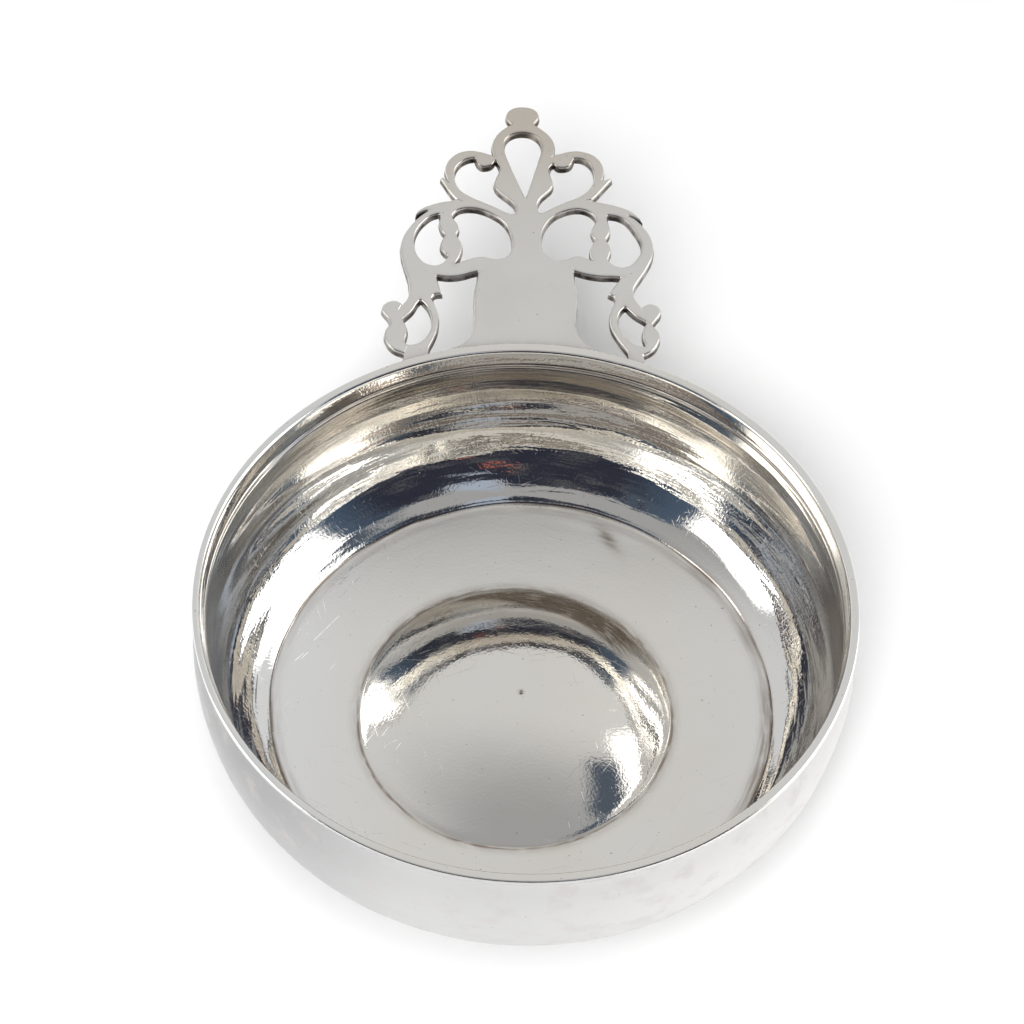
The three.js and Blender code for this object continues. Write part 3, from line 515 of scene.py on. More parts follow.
# short cuts of the file and saw that run on into the top face: ends, half width, depth
HANDLE_CUTS = [
    ((-15.05, 42.4), (-13.6, 41.55), 0.20, 0.16),
    ((15.05, 42.45), (14.1, 42.5), 0.18, 0.14),
    ((-26.2, 12.0), (-26.95, 10.2), 0.20, 0.16),
    ((25.4, 12.0), (25.55, 10.6), 0.20, 0.16),
    ((0.45, 43.0), (0.5, 41.3), 0.14, 0.12),
    ((-6.4, 55.3), (-5.9, 54.7), 0.20, 0.16),
    ((6.9, 55.9), (6.5, 55.2), 0.18, 0.14),
    ((-25.6, -1.7), (-24.9, 0.2), 0.16, 0.10),
]

RIM_CUT = 65.92          # the handle is let into the rim's outer edge by a hair


def rim_line(u):
    """Where the rim's edge crosses the handle's flat."""
    return (np.sqrt(RIM_CUT ** 2 - np.asarray(u, float) ** 2) - HANDLE_ROOT) / math.cos(TILT)


def closed_loop(runs, step):
    return np.vstack([catmull(run, step)[:-1] for run in runs])


def area(loop):
    x, y = loop[:, 0], loop[:, 1]
    return 0.5 * np.sum(x * np.roll(y, -1) - np.roll(x, -1) * y)


def trim_to_rim(loop, step):
    """The part of the outline beyond the rim, closed along the rim; True marks points on the rim."""
    beyond = loop[:, 1] > rim_line(loop[:, 0])
    first = int(np.argmax(beyond & ~np.roll(beyond, 1)))
    loop, beyond = np.roll(loop, -first, axis=0), np.roll(beyond, -first)
    points, on_rim, k, n = [], [], 0, len(loop)

    def crossing(a, b):
        lo, hi = 0.0, 1.0
        for _ in range(40):
            mid = 0.5 * (lo + hi)
            p = a + (b - a) * mid
            if (p[1] > rim_line(p[0])) == (a[1] > rim_line(a[0])):
                lo = mid
            else:
                hi = mid
        return a + (b - a) * lo
    while k < n:
        if beyond[k]:
            points.append(loop[k])
            on_rim.append(False)
            k += 1
            continue
        leave = crossing(loop[k - 1], loop[k])
        while k < n and not beyond[k]:
            k += 1
        back = crossing(loop[k - 1], loop[k % n])
        m = max(2, int(round(abs(back[0] - leave[0]) / step)))
        for u in np.linspace(leave[0], back[0], m + 1):
            points.append(np.array([u, float(rim_line(u))]))
            on_rim.append(True)
    return np.array(points), np.array(on_rim)


def segment_distance(points, a, b):
    """Least distance from each point to any of the segments a-b."""
    best = np.full(len(points), 1e9)
    d = b - a
    length2 = np.maximum((d * d).sum(1), 1e-12)
    for i in range(0, len(points), 400):
        p = points[i:i + 400, None, :]
        t = np.clip(((p - a[None]) * d[None]).sum(2) / length2[None], 0.0, 1.0)
        q = p - (a[None] + t[..., None] * d[None])
        best[i:i + 400] = np.sqrt((q * q).sum(2)).min(1)
    return best


def inside_loops(points, loops):
    hit = np.zeros(len(points), bool)
    for loop in loops:
        a, b = loop, np.roll(loop, -1, axis=0)
        for i in range(0, len(points), 2000):
            p = points[i:i + 2000]
            x, y = p[:, 0][:, None], p[:, 1][:, None]
            cross = (a[None, :, 1] > y) != (b[None, :, 1] > y)
            slope = (b[:, 0] - a[:, 0]) / np.where(b[:, 1] == a[:, 1], 1e-12, b[:, 1] - a[:, 1])
            xc = a[None, :, 0] + (y - a[None, :, 1]) * slope[None]
            hit[i:i + 2000] ^= (np.sum(cross & (x < xc), axis=1) % 2).astype(bool)
    return hit


def loop_normals(loop):
    """Unit vectors to the left of the loop, into the metal."""
    d = np.roll(loop, -1, axis=0) - loop
    d /= np.maximum(np.linalg.norm(d, axis=1), 1e-9)[:, None]
    left = np.column_stack([-d[:, 1], d[:, 0]])
    m = left + np.roll(left, 1, axis=0)
    return m / np.maximum(np.linalg.norm(m, axis=1), 1e-6)[:, None]


def room_outside(loop, normal, a, b):
    """How far each point could move out of the metal before it meets metal again."""
    d = b - a
    room = np.full(len(loop), 9.0)
    for i in range(0, len(loop), 300):
        o = loop[i:i + 300, None, :] - normal[i:i + 300, None, :] * 0.02
        w = -normal[i:i + 300, None, :]
        den = w[..., 0] * d[None, :, 1] - w[..., 1] * d[None, :, 0]
        den = np.where(np.abs(den) < 1e-9, 1e-9, den)
        ao = a[None] - o
        t = (ao[..., 0] * d[None, :, 1] - ao[..., 1] * d[None, :, 0]) / den
        s = (ao[..., 0] * w[..., 1] - ao[..., 1] * w[..., 0]) / den
        t = np.where((t > 1e-4) & (s >= 0.0) & (s <= 1.0), t, 9.0)
        room[i:i + 300] = np.minimum(room[i:i + 300], t.min(1))
    return room


def triangles_inside(points, loops):
    """Triangles over the metal between the loops, which are the first points in order."""
    edges, start = [], 0
    for loop in loops:
        m = len(loop)
        edges += [(start + k, start + (k + 1) % m) for k in range(m)]
        start += m
    out = delaunay_2d_cdt([Vector(p) for p in points], edges, [], 0, 1e-7, True)
    source = [ids[0] if ids else -1 for ids in out[3]]
    tri = np.array([[source[i] for i in f] for f in out[2]])
    tri = tri[(tri >= 0).all(1)]
    middle = np.asarray(points)[tri].mean(1)
    tri = tri[inside_loops(middle, loops)]
    p = np.asarray(points)
    e1, e2 = p[tri[:, 1]] - p[tri[:, 0]], p[tri[:, 2]] - p[tri[:, 0]]
    turn = e1[:, 0] * e2[:, 1] - e1[:, 1] * e2[:, 0]
    tri[turn < 0] = tri[turn < 0][:, ::-1]
    return tri


def build_handle():
    step = 0.34
    outer, rim_flag = trim_to_rim(closed_loop(HANDLE_OUTLINE, step), step)
    if area(outer) < 0:
        outer, rim_flag = outer[::-1], rim_flag[::-1]
    loops = [outer]
    for runs in HANDLE_HOLES:
        loop = closed_loop(runs, step)
        loops.append(loop[::-1] if area(loop) > 0 else loop)
    flags = [rim_flag] + [np.zeros(len(l), bool) for l in loops[1:]]
    seg_a = np.vstack(loops)
    seg_b = np.vstack([np.roll(l, -1, axis=0) for l in loops])
    flag_a = np.concatenate(flags)
    flag_b = np.concatenate([np.roll(f, -1) for f in flags])
    free = ~(flag_a & flag_b)            # edges that were filed, not those against the rim
    normals = [loop_normals(l) for l in loops]
    border = np.vstack(loops)
    nb = len(border)

    # extra points: rings near the edge for its rounding, an even spread within, the cuts
    rng = np.random.default_rng(21)
    extra = []
    for off in (0.07, 0.16, 0.28, 0.45, 0.8):
        ring = np.vstack([l + m * off for l, m in zip(loops, normals)])
        if off > 0.3:
            ring = ring[::2]
        keep = segment_distance(ring, seg_a, seg_b) > 0.93 * off
        extra.append(ring[keep])
    gx, gy = np.meshgrid(np.arange(-31.0, 31.0, 0.9), np.arange(-3.0, 71.0, 0.9))
    cells = np.column_stack([gx.ravel(), gy.ravel()]) + rng.uniform(-0.2, 0.2, (gx.size, 2))
    cells = cells[inside_loops(cells, loops)]
    extra.append(cells[segment_distance(cells, seg_a, seg_b) > 1.05])
    cut_points = []
    for a, b, half, _ in HANDLE_CUTS:
        a, b = np.array(a), np.array(b)
        along = (b - a) / np.linalg.norm(b - a)
        side = np.array([-along[1], along[0]])
        for t in np.arange(0.0, np.linalg.norm(b - a) + half, 0.13):
            for off in (-1.6, -1.0, -0.5, 0.0, 0.5, 1.0, 1.6):
                cut_points.append(a + along * t + side * off * half)
    cut_points = np.array(cut_points)
    cut_points = cut_points[inside_loops(cut_points, loops)]
    extra.append(cut_points[segment_distance(cut_points, seg_a, seg_b) > 0.05])
    extra = np.vstack(extra)
    order = np.round(extra / 0.05).astype(int)      # no two points on top of each other
    extra = extra[np.sort(np.unique(order, axis=0, return_index=True)[1])]
    top = np.vstack([border, extra])

    tri = triangles_inside(top.tolist(), loops)

    edge = segment_distance(top, seg_a[free], seg_b[free])
    edge[:nb][~flag_a] = 0.0
    r0 = 0.50
    e = np.clip(edge, 0.0, r0)
    depth = r0 - np.sqrt(np.maximum(r0 ** 2 - (r0 - e) ** 2, 0.0))
    depth = depth * 0.9
    for a, b, half, deep in HANDLE_CUTS:
        d = segment_distance(top, np.array([a]), np.array([b]))
        depth = depth + deep * np.clip(1.0 - d / (1.5 * half), 0.0, 1.0) ** 1.5
    # filed flat by hand, and a trace of solder run up against the rim
    depth = depth + 0.020 * relief(31, 9, 9)(top[:, 0] / 62.0, top[:, 1] / 72.0) \
        + 0.006 * relief(32, 23, 23)(top[:, 0] / 62.0, top[:, 1] / 72.0)
    near = top[:, 1] - rim_line(np.clip(top[:, 0], -60, 60))
    depth = depth - 0.34 * np.exp(-np.maximum(near, 0.0) / 0.55)

    # sides lean out a little towards the back
    slack = []
    for loop, m in zip(loops, normals):
        room = np.minimum(0.18, 0.32 * room_outside(loop, m, seg_a, seg_b))
        n = len(room)
        low = np.min([np.roll(room, k) for k in range(-3, 4)], axis=0)
        slack.append(np.mean([np.roll(low, k) for k in range(-2, 3)], axis=0))
    lean = np.concatenate([np.where(f, 0.0, s) for f, s in zip(flags, slack)])
    out_dir = -np.vstack(normals)

    rows = [(0.62, 0.22), (0.98, 0.5), (1.34, 0.78), (1.62, 0.97), (1.76, 0.92)]
    flat = [np.column_stack([top, depth])]
    for d, k in rows:
        flat.append(np.column_stack([border + out_dir * (lean * k)[:, None], np.full(nb, d)]))
    # back face
    back_border = border + out_dir * (lean * 0.70)[:, None]
    back_loops, start = [], 0
    for l in loops:
        back_loops.append(back_border[start:start + len(l)])
        start += len(l)
    back_extra = cells[segment_distance(cells, np.vstack(back_loops),
                                        np.vstack([np.roll(l, -1, axis=0) for l in back_loops])) > 0.8]
    back = np.vstack([back_border, back_extra])
    back_tri = triangles_inside(back.tolist(), back_loops)
    back_depth = 1.8 + 0.03 * relief(33, 13, 13)(back[:, 0] / 62.0, back[:, 1] / 72.0) * 0.6 - 0.02
    flat.append(np.column_stack([back, np.minimum(back_depth, 1.8)]))

    local = np.vstack(flat)
    faces = [tuple(t) for t in tri]
    starts = [0] + [len(top) + nb * k for k in range(len(rows))]
    starts.append(len(top) + nb * len(rows))
    for s0, s1 in zip(starts[:-1], starts[1:]):
        begin = 0
        for l in loops:
            m = len(l)
            for k in range(m):
                a, b = begin + k, begin + (k + 1) % m
                faces.append((s0 + a, s1 + a, s1 + b, s0 + b))
            begin += m
    faces += [tuple(int(i) + starts[-1] for i in t[::-1]) for t in back_tri]

    u, v, d = local.T
    points = np.column_stack([
        u,
        AXIS_Y + HANDLE_ROOT + v * math.cos(TILT) + d * math.sin(TILT),
        H - HANDLE_DROP + v * math.sin(TILT) - d * math.cos(TILT),
    ])
    # tarnish against the rim; the sawn sides are made dark as tarnish and as painted shade, standing in for the dark
    # they mirror
    tarnish_and_shade = np.zeros(len(local))
    tarnish_and_shade[:len(top)] = 0.75 * np.exp(-np.maximum(near, 0.0) / 0.8) * 0.5
    side = slice(len(top), len(top) + nb * len(rows))
    tarnish_and_shade[side] = np.repeat([0.80, 0.92, 0.94, 0.82, 0.60], nb)
    # the top face's edges are darkened, unevenly: tarnish in the bevels, and painted shade that dims their highlights
    edge_tarnish_and_shade_vary = np.clip(0.60 + 0.55 * relief(34, 13, 13)(top[:, 0] / 62.0, top[:, 1] / 72.0), 0.15, 1.0)
    tarnish_and_shade[:len(top)] += 0.66 * edge_tarnish_and_shade_vary * np.exp(-(edge / 0.22) ** 2)
    piece = mesh_piece("pierced_handle", points, faces, [("tarnish_and_shade", tarnish_and_shade)])
    return piece


# ---- solder --------------------------------------------------------------------------

def build_seam(name, u0, u1, seed):
    """A fillet of hard solder under the handle, in the corner it makes with the bowl's neck."""
    profile = np.array([
        [65.6, H - 2.05], [65.1, H - 2.6], [64.72, H - 3.1], [64.66, H - 3.7], [64.85, H - 4.5], [65.15, H - 5.25],
        [65.42, H - 5.75], [65.62, H - 5.7], [65.72, H - 5.2], [65.95, H - 4.55], [66.3, H - 3.95], [66.75, H - 3.4],
        [67.25, H - 2.95], [67.8, H - 2.62], [68.15, H - 2.42], [68.0, H - 2.28], [67.2, H - 2.2], [66.4, H - 2.12],
    ])
    a0, a1 = math.asin(u0 / RIM), math.asin(u1 / RIM)
    n = max(14, int(round(abs(a1 - a0) * RIM / 0.5)))
    m = len(profile)
    middle = np.array([65.5, H - 3.3])
    lump, lump2 = relief(seed, 7, 7), relief(seed + 1, 29, 9)
    t = np.linspace(0.0, 1.0, n + 1)
    points = []
    for k in range(n + 1):
        a = a0 + (a1 - a0) * t[k]
        # runs out to nothing at both ends
        taper = min(1.0, (min(t[k], 1.0 - t[k]) * abs(a1 - a0) * RIM / 1.1 + 0.04)) ** 0.5
        for j in range(m):
            c = middle + (profile[j] - middle) * (0.35 + 0.65 * taper)
            w = 0.07 * lump(t[k] * 0.9, j / m) + 0.05 * lump2(t[k] * 0.9, j / m)
            c = c + (profile[j] - middle) / 2.0 * w * (1.0 if 7 <= j <= 14 else 0.2)
            points.append([c[0] * math.sin(a), AXIS_Y + c[0] * math.cos(a), c[1]])
    faces = []
    for k in range(n):
        for j in range(m):
            a, b = k * m + j, k * m + (j + 1) % m
            faces.append((a, b, b + m, a + m))
    for k, flip in ((0, False), (n, True)):
        hub = len(points)
        ring = [k * m + j for j in range(m)]
        points.append(list(np.mean([points[i] for i in ring], axis=0)))
        for j in range(m):
            f = (ring[j], hub, ring[(j + 1) % m])
            faces.append(f[::-1] if flip else f)
    return mesh_piece(name, points, faces, [("tarnish_and_shade", np.full(len(points), 0.5))])


def face_outward(obj):
    """Turns every face to point out of the closed mesh."""
    import bmesh
    bm = bmesh.new()
    bm.from_mesh(obj.data)
    bmesh.ops.recalc_face_normals(bm, faces=bm.faces)
    volume = bm.calc_volume(signed=True)
    if volume < 0:
        bmesh.ops.reverse_faces(bm, faces=bm.faces)
    bm.to_mesh(obj.data)
    bm.free()
    obj.data.update()


bowl = build_bowl()
handle = build_handle()
seams = [build_seam("solder_fillet_centre", -15.6, 14.9, 41),
         build_seam("solder_fillet_left", -25.7, -20.3, 51),
         build_seam("solder_fillet_right", 21.8, 25.8, 61)]
for piece in (bowl, handle, *seams):
    face_outward(piece)


# ---- materials -------------------------------------------------------------------------

class Graph:
    """Short hand for a shader node tree."""

    def __init__(self, tree):
        self.tree = tree

    def new(self, kind, **props):
        node = self.tree.nodes.new(kind)
        for key, value in props.items():
            setattr(node, key, value)
        return node

    def feed(self, socket, value):
        if isinstance(value, bpy.types.NodeSocket):
            self.tree.links.new(value, socket)
        elif isinstance(value, (tuple, list)) and len(value) == 3 and socket.type == "RGBA":
            socket.default_value = (*value, 1.0)
        else:
            socket.default_value = value

    def math(self, op, a, b=0.0, clamp=False):
        node = self.new("ShaderNodeMath", operation=op, use_clamp=clamp)
        self.feed(node.inputs[0], a)
        self.feed(node.inputs[1], b)
        return node.outputs[0]

    def add(self, *terms):
        total = terms[0]
        for t in terms[1:]:
            total = self.math("ADD", total, t)
        return total

    def mul(self, *terms):
        total = terms[0]
        for t in terms[1:]:
            total = self.math("MULTIPLY", total, t)
        return total

    def step(self, x, lo, hi, out_lo=0.0, out_hi=1.0):
        """Smooth step of x from lo to hi."""
        node = self.new("ShaderNodeMapRange", interpolation_type="SMOOTHSTEP")
        self.feed(node.inputs["Value"], x)
        if lo > hi:
            lo, hi, out_lo, out_hi = hi, lo, out_hi, out_lo
        for key, value in (("From Min", lo), ("From Max", hi), ("To Min", out_lo), ("To Max", out_hi)):
            self.feed(node.inputs[key], value)
        return node.outputs["Result"]

    def blend(self, factor, a, b):
        node = self.new("ShaderNodeMix", data_type="RGBA", clamp_factor=True)
        self.feed(node.inputs[0], factor)
        self.feed(node.inputs[6], a)
        self.feed(node.inputs[7], b)
        return node.outputs[2]

    def attribute(self, name, vector=False):
        node = self.new("ShaderNodeAttribute", attribute_name=name)
        return node.outputs["Vector" if vector else "Fac"]

    def place(self):
        """The point in millimetres, in the object's own axes."""
        return self.scaled(self.new("ShaderNodeTexCoord").outputs["Object"], (1000.0, 1000.0, 1000.0))

    def scaled(self, vector, size, turn=0.0, shift=(0.0, 0.0, 0.0)):
        node = self.new("ShaderNodeMapping")
        self.feed(node.inputs["Vector"], vector)
        node.inputs["Scale"].default_value = size
        node.inputs["Rotation"].default_value = (0.0, 0.0, turn)
        node.inputs["Location"].default_value = shift
        return node.outputs[0]

    def noise(self, vector, scale=1.0, detail=2.0, rough=0.5, twist=0.0):
        node = self.new("ShaderNodeTexNoise", noise_dimensions="3D")
        self.feed(node.inputs["Vector"], vector)
        for key, value in (("Scale", scale), ("Detail", detail), ("Roughness", rough), ("Distortion", twist)):
            node.inputs[key].default_value = value
        return node.outputs["Fac"]

    def bump(self, height, distance, normal=None):
        node = self.new("ShaderNodeBump")
        self.feed(node.inputs["Height"], height)
        node.inputs["Distance"].default_value = distance
        node.inputs["Strength"].default_value = 1.0
        if normal is not None:
            self.feed(node.inputs["Normal"], normal)
        return node.outputs["Normal"]

    def scratches(self, vector, seed, turns, long=0.07, wide=2.4, level=0.70):
        """Thin straight scratches in a few directions: 0 to 1."""
        total = 0.0
        for k, turn in enumerate(turns):
            n = self.noise(self.scaled(vector, (long, wide, 0.31), 0.0, (seed * 3.1 + 7.7 * k, k * 5.3, seed)) if turn == 0.0
                           else self.scaled(self.scaled(vector, (1.0, 1.0, 1.0), turn), (long, wide, 0.31), 0.0,
                                            (seed * 3.1 + 7.7 * k, k * 5.3, seed)), 1.0, 1.0, 0.5, 0.15)
            total = self.math("MAXIMUM", total, self.step(n, level, level + 0.07))
        return total


def material(name):
    m = bpy.data.materials.new(name)
    m.use_nodes = True
    shader = m.node_tree.nodes["Principled BSDF"]
    shader.inputs["Metallic"].default_value = 1.0
    return m, Graph(m.node_tree), shader


def bowl_silver():
    m, g, shader = material("silver_bowl")
    ring = g.attribute("ring", True)
    tarnish_and_shade, streak, outer = g.attribute("tarnish_and_shade"), g.attribute("streak"), g.attribute("outer")
    place = g.place()

    long_marks = g.noise(g.scaled(ring, (4.2, 4.2, 0.50)), 1.0, 1.0, 0.5, 0.35)
    fine_marks = g.noise(g.scaled(ring, (10.0, 10.0, 1.7)), 1.0, 0.0, 0.5, 0.25)
    clouds = g.noise(g.scaled(place, (0.055, 0.055, 0.08)), 1.0, 4.0, 0.55)
    patches = g.noise(g.scaled(place, (0.16, 0.16, 0.22), 0.6, (3.0, 8.0, 1.0)), 1.0, 3.0, 0.6)
    grain = g.noise(g.scaled(place, (1.7, 1.7, 1.7)), 1.0, 1.0, 0.5)
    pits = g.step(g.noise(g.scaled(place, (1.5, 1.5, 1.5), 0.0, (5.0, 2.0, 9.0)), 1.0, 0.0), 0.83, 0.88)
    lines = g.scratches(place, 2.0, (0.35, 1.25, 2.2, 2.9))

    # colour: silver, warmer in patches, brown where tarnish gathers, faint fire stain outside; painted reflection tone
    # at the sides and painted shade on the outside
    tint = g.blend(g.step(clouds, 0.35, 0.68), (0.962, 0.930, 0.870), (0.945, 0.905, 0.835))
    stain = g.mul(outer, g.step(patches, 0.50, 0.74), 0.55)
    split = g.new("ShaderNodeSeparateXYZ")
    g.feed(split.inputs[0], place)
    # both sides, the left more than the right, are tinted whiter and cooler than the handle's side: a painted
    # reflection tone
    sides = g.add(g.step(split.outputs["X"], -22.0, -52.0), g.step(split.outputs["X"], 30.0, 58.0, 0.0, 0.7))
    tint = g.blend(sides, tint, (0.957, 0.948, 0.924))
    # the outside is grey, partly painted shade that dims the bright table it mirrors, and it is painted darker to the
    # left and lighter to the right as painted shade and light across the belly
    shell = g.blend(g.step(split.outputs["X"], -54.0, -18.0), (0.425, 0.424, 0.426), (0.63, 0.627, 0.623))
    shell = g.blend(g.step(split.outputs["X"], -12.0, 52.0), shell, (0.745, 0.735, 0.722))
    tint = g.blend(outer, tint, shell)
    tint = g.blend(stain, tint, (0.60, 0.565, 0.545))
    tarnish_and_shade_mix = g.mul(tarnish_and_shade, g.step(g.add(fine_marks, g.mul(patches, 0.7)), 0.45, 0.95, 0.35, 1.0))
    tint = g.blend(g.math("MINIMUM", tarnish_and_shade_mix, 0.9), tint, (0.30, 0.235, 0.185))
    tint = g.blend(g.mul(pits, 0.5), tint, (0.36, 0.31, 0.26))
    g.feed(shader.inputs["Base Color"], tint)

    rough = g.add(0.045, g.mul(streak, g.step(long_marks, 0.35, 0.75), 0.02), g.mul(g.step(patches, 0.4, 0.8), 0.02),
                  g.mul(outer, 0.28), g.mul(tarnish_and_shade, 0.22), g.mul(lines, 0.05))
    g.feed(shader.inputs["Roughness"], rough)

    height = g.add(g.mul(long_marks, streak, 4.5), g.mul(fine_marks, streak, 0.60), g.mul(grain, 0.85),
                   g.mul(lines, -0.30), g.mul(pits, -0.35))
    g.feed(shader.inputs["Normal"], g.bump(height, 0.000020))
    return m


def handle_silver():
    m, g, shader = material("silver_handle")
    tarnish_and_shade = g.attribute("tarnish_and_shade")
    place = g.place()
    clouds = g.noise(g.scaled(place, (0.07, 0.07, 0.07)), 1.0, 4.0, 0.55)
    patches = g.noise(g.scaled(place, (0.4, 0.4, 0.4), 0.4, (1.0, 5.0, 2.0)), 1.0, 3.0, 0.6)
    filed = g.noise(g.scaled(place, (0.5, 5.0, 5.0), 0.3), 1.0, 3.0, 0.6)
    grain = g.noise(g.scaled(place, (3.0, 3.0, 3.0)), 1.0, 2.0, 0.6)
    lines = g.scratches(place, 4.0, (0.2, 0.95, 1.7, 2.5), 0.09, 2.6, 0.68)
    pits = g.step(g.noise(g.scaled(place, (1.6, 1.6, 1.6), 0.0, (2.0, 7.0, 4.0)), 1.0, 0.0), 0.83, 0.88)
    split = g.new("ShaderNodeSeparateXYZ")
    g.feed(split.inputs[0], place)
    tip = g.step(split.outputs["Y"], 62.0, 98.0)

    tint = g.blend(g.step(clouds, 0.35, 0.68), (0.915, 0.892, 0.845), (0.890, 0.858, 0.802))
    tint = g.blend(g.mul(tip, 0.85), tint, (0.755, 0.675, 0.575))
    tarnish_and_shade_mix = g.mul(tarnish_and_shade, g.step(patches, 0.30, 0.66, 0.70, 1.08))
    # near-black brown: tarnish, and on the sides and the top's edges painted shade as well
    tint = g.blend(g.math("MINIMUM", tarnish_and_shade_mix, 0.97), tint, (0.075, 0.060, 0.049))
    tint = g.blend(g.mul(pits, 0.5), tint, (0.40, 0.34, 0.28))
    g.feed(shader.inputs["Base Color"], tint)
    rough = g.add(0.13, g.mul(g.step(clouds, 0.4, 0.8), 0.05), g.mul(filed, 0.04), g.mul(tarnish_and_shade, 0.25), g.mul(lines, 0.06))
    g.feed(shader.inputs["Roughness"], rough)
    height = g.add(g.mul(filed, 0.06), g.mul(grain, 0.03), g.mul(lines, -0.06), g.mul(pits, -0.5), g.mul(patches, 0.25))
    g.feed(shader.inputs["Normal"], g.bump(height, 0.000020))
    return m


def solder_metal():
    m, g, shader = material("solder")
    place = g.place()
    patches = g.noise(g.scaled(place, (0.6, 0.6, 0.6)), 1.0, 4.0, 0.6)
    grain = g.noise(g.scaled(place, (4.0, 4.0, 4.0)), 1.0, 3.0, 0.6)
    tint = g.blend(g.step(patches, 0.35, 0.65), (0.70, 0.605, 0.55), (0.46, 0.36, 0.315))
    g.feed(shader.inputs["Base Color"], tint)
    g.feed(shader.inputs["Roughness"], g.add(0.26, g.mul(patches, 0.16), g.mul(grain, 0.06)))
    g.feed(shader.inputs["Normal"], g.bump(g.add(g.mul(patches, 0.6), g.mul(grain, 0.25)), 0.00006))
    return m


bowl.data.materials.append(bowl_silver())
handle.data.materials.append(handle_silver())
solder = solder_metal()
for piece in seams:
    piece.data.materials.append(solder)

# ---- placing -----------------------------------------------------------------------------

for piece, node, slot in ((bowl, "bowl", "silver_bowl"), (handle, "handle", "silver_handle"),
                          (seams[0], "solder_seam_centre", "solder"), (seams[1], "solder_seam_left", "solder"),
                          (seams[2], "solder_seam_right", "solder")):
    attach(piece, "root")
    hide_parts(node)


# ---- stage -------------------------------------------------------------------------------

def build_floor():
    n = 24
    points = [[0.0, 0.0, -0.02]]
    for k in range(n):
        a = TAU * k / n
        points.append([3000.0 * math.cos(a), 3000.0 * math.sin(a), -0.02])
    faces = [(0, 1 + k, 1 + (k + 1) % n) for k in range(n)]
    obj = mesh_piece("table_floor", points, faces)
    m = bpy.data.materials.new("floor_white")
    m.use_nodes = True
    b = m.node_tree.nodes["Principled BSDF"]
    b.inputs["Base Color"].default_value = (0.9, 0.9, 0.9, 1.0)
    b.inputs["Roughness"].default_value = 0.9
    obj.data.materials.append(m)
    return obj


build_floor()


def studio():
    """A grey room with a soft white light either side, dark behind the camera."""
    world = bpy.data.worlds.new("studio")
    bpy.context.scene.world = world
    world.use_nodes = True
    g = Graph(world.node_tree)
    back = world.node_tree.nodes["Background"]
    split = g.new("ShaderNodeSeparateXYZ")
    toward = g.new("ShaderNodeTexCoord").outputs["Generated"]
    g.feed(split.inputs[0], toward)
    x, y, z = split.outputs
    deg = 180.0 / math.pi
    az = g.mul(g.math("ARCTAN2", x, y), deg)         # 0 ahead, + to the right
    el = g.mul(g.math("ARCSINE", z), deg)

    def window(a0, a1, e0, e1, soft_a, soft_e):
        """A soft-edged pane, 0 to 1."""
        return g.mul(g.step(az, a0 - soft_a, a0 + soft_a), g.step(az, a1 + soft_a, a1 - soft_a),
                     g.step(el, e0 - soft_e, e0 + soft_e), g.step(el, e1 + soft_e, e1 - soft_e))

    # the ceiling darkens towards the back
    room = g.blend(g.step(y, -0.25, 0.45), (0.345, 0.353, 0.368), (0.605, 0.612, 0.622))
    room = g.blend(g.mul(g.step(x, 0.0, 0.8), g.step(y, 0.0, 0.5)), room, (0.66, 0.665, 0.675))
    # dark behind the camera, up to about 50 degrees, bluish towards both lights, pale again near the table
    top = g.add(54.0, g.mul(g.step(az, 143.0, 151.0), -12.0), g.mul(g.step(az, 166.0, 174.0), 9.5),
                g.mul(g.step(az, -110.0, -118.0), -7.0), g.mul(g.step(az, -156.0, -172.0), 4.5))
    low = g.step(g.add(el, g.mul(top, -1.0)), 4.0, -4.0)
    room = g.blend(g.mul(low, g.add(g.step(az, -112.0, -124.0), g.step(az, 103.0, 112.0))), room, (0.065, 0.098, 0.150))
    clutter = g.noise(g.scaled(toward, (5.0, 5.0, 9.0)), 1.0, 3.0, 0.6)
    gloom = g.blend(g.step(clutter, 0.50, 0.68), (0.025, 0.028, 0.045), (0.085, 0.088, 0.100))
    for pane in ((166.0, 177.0, 33.8, 35.6, 1.5, 0.6), (158.0, 163.0, 17.0, 20.5, 1.5, 1.0),
                 (-159.0, -153.0, 47.0, 49.0, 1.5, 0.8)):
        gloom = g.blend(window(*pane), gloom, (0.40, 0.135, 0.105))
    room = g.blend(g.mul(low, g.add(g.step(az, -122.0, -150.0), g.step(az, 109.0, 130.0))), room, gloom)
    room = g.blend(window(72.0, 108.0, 50.0, 61.0, 4.0, 3.0), room, (0.075, 0.095, 0.130))
    room = g.blend(window(150.0, 168.0, 43.0, 57.0, 4.0, 3.0), room, (0.36, 0.42, 0.53))
    room = g.blend(g.step(el, 12.0, 5.0), room, (0.95, 0.95, 0.95))
    left = window(-117.0, -80.0, 6.0, 35.0, 4.0, 6.0)
    right = window(60.0, 105.0, 6.0, 50.0, 4.0, 3.0)
    light = g.blend(left, room, (2.3, 2.3, 2.3))
    light = g.blend(right, light, (2.1, 2.1, 2.1))
    g.feed(back.inputs["Color"], light)
    back.inputs["Strength"].default_value = 1.0
    world.cycles_visibility.diffuse = False      # the table has lights of its own


studio()


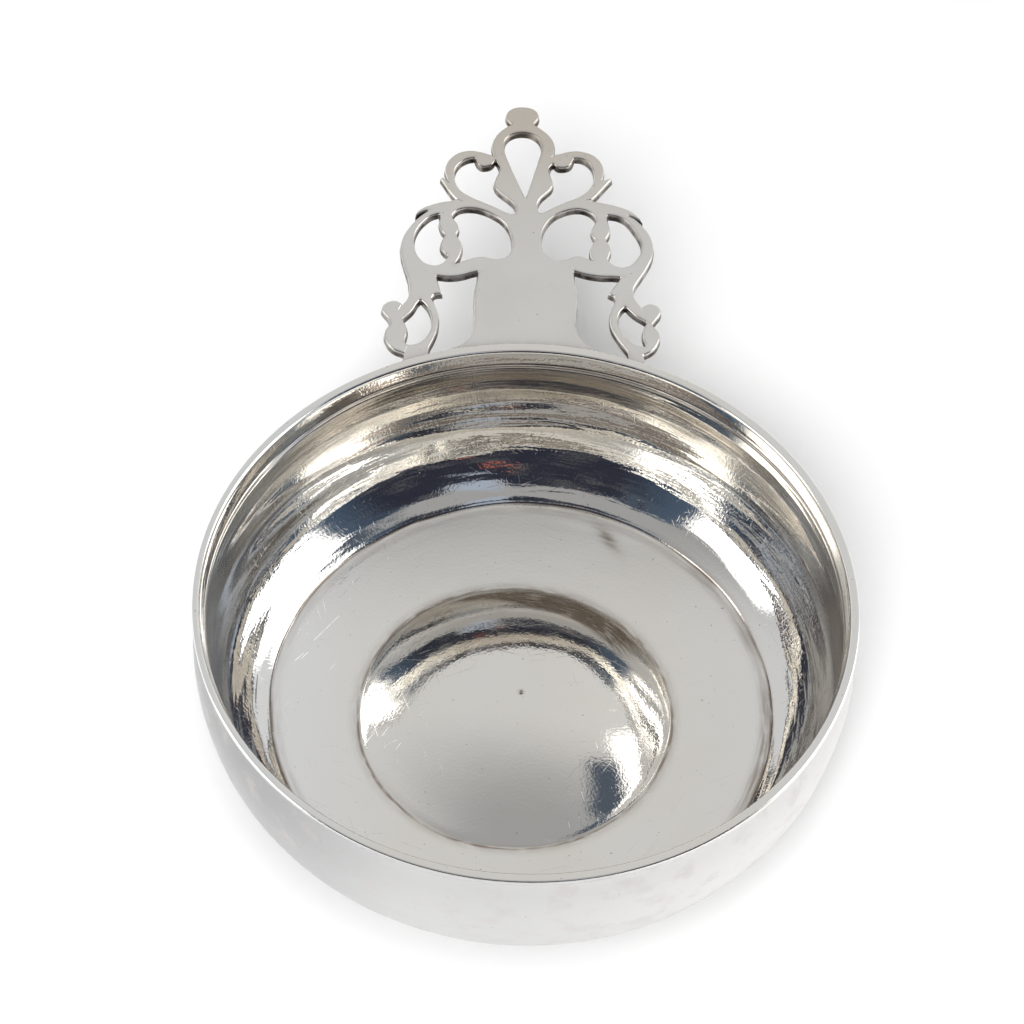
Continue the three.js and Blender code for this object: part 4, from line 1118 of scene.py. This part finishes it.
def soft_light(name, az, el, far, size, energy):
    """A round soft light for the table; the two panes of the room are what the silver mirrors."""
    data = bpy.data.lights.new(name, "AREA")
    data.shape, data.size, data.energy = "DISK", size, energy
    obj = bpy.data.objects.new(name, data)
    bpy.context.scene.collection.objects.link(obj)
    a, e = math.radians(az), math.radians(el)
    toward = Vector((math.sin(a) * math.cos(e), math.cos(a) * math.cos(e), math.sin(e)))
    obj.location = toward * far
    obj.rotation_euler = toward.to_track_quat("Z", "Y").to_euler()
    obj.visible_glossy = False


soft_light("key", -168.0, 47.0, 4.0, 1.1, 46.0)
soft_light("key_low", -160.0, 38.0, 4.0, 1.2, 24.0)
soft_light("key_right", 178.0, 45.0, 4.0, 1.4, 33.0)
soft_light("side", -147.0, 47.0, 4.0, 1.6, 38.0)
soft_light("front", 178.0, 55.0, 4.0, 3.5, 16.0)
soft_light("front_high", -176.0, 70.0, 4.0, 2.5, 39.0)
soft_light("overhead", 0.0, 90.0, 4.0, 2.0, 26.0)
soft_light("overhead_wide", 0.0, 90.0, 4.0, 4.5, 38.0)

# ---- camera ------------------------------------------------------------------------------

yaw, pitch, roll = -0.0359, 0.9028, 0.0411
forward = Vector((-math.sin(yaw) * math.cos(pitch), math.cos(yaw) * math.cos(pitch), -math.sin(pitch)))
right = Vector((math.cos(yaw), math.sin(yaw), 0.0))
up = right.cross(forward)
r2 = right * math.cos(roll) + up * math.sin(roll)
u2 = up * math.cos(roll) - right * math.sin(roll)
camera_data = bpy.data.cameras.new("camera")
camera_data.sensor_width = 36.0
camera_data.lens = 94.92
camera_data.clip_start, camera_data.clip_end = 0.01, 20.0
camera = bpy.data.objects.new("camera", camera_data)
bpy.context.scene.collection.objects.link(camera)
place = Matrix((r2, u2, -forward)).transposed().to_4x4()
place.translation = Vector((-14.96, -352.69, H + 429.05)) * MM
camera.matrix_world = place
bpy.context.scene.camera = camera
bpy.context.scene.view_settings.view_transform = "Standard"
# the bowl mirrors itself many times over
bpy.context.scene.cycles.max_bounces = 16
bpy.context.scene.cycles.glossy_bounces = 12
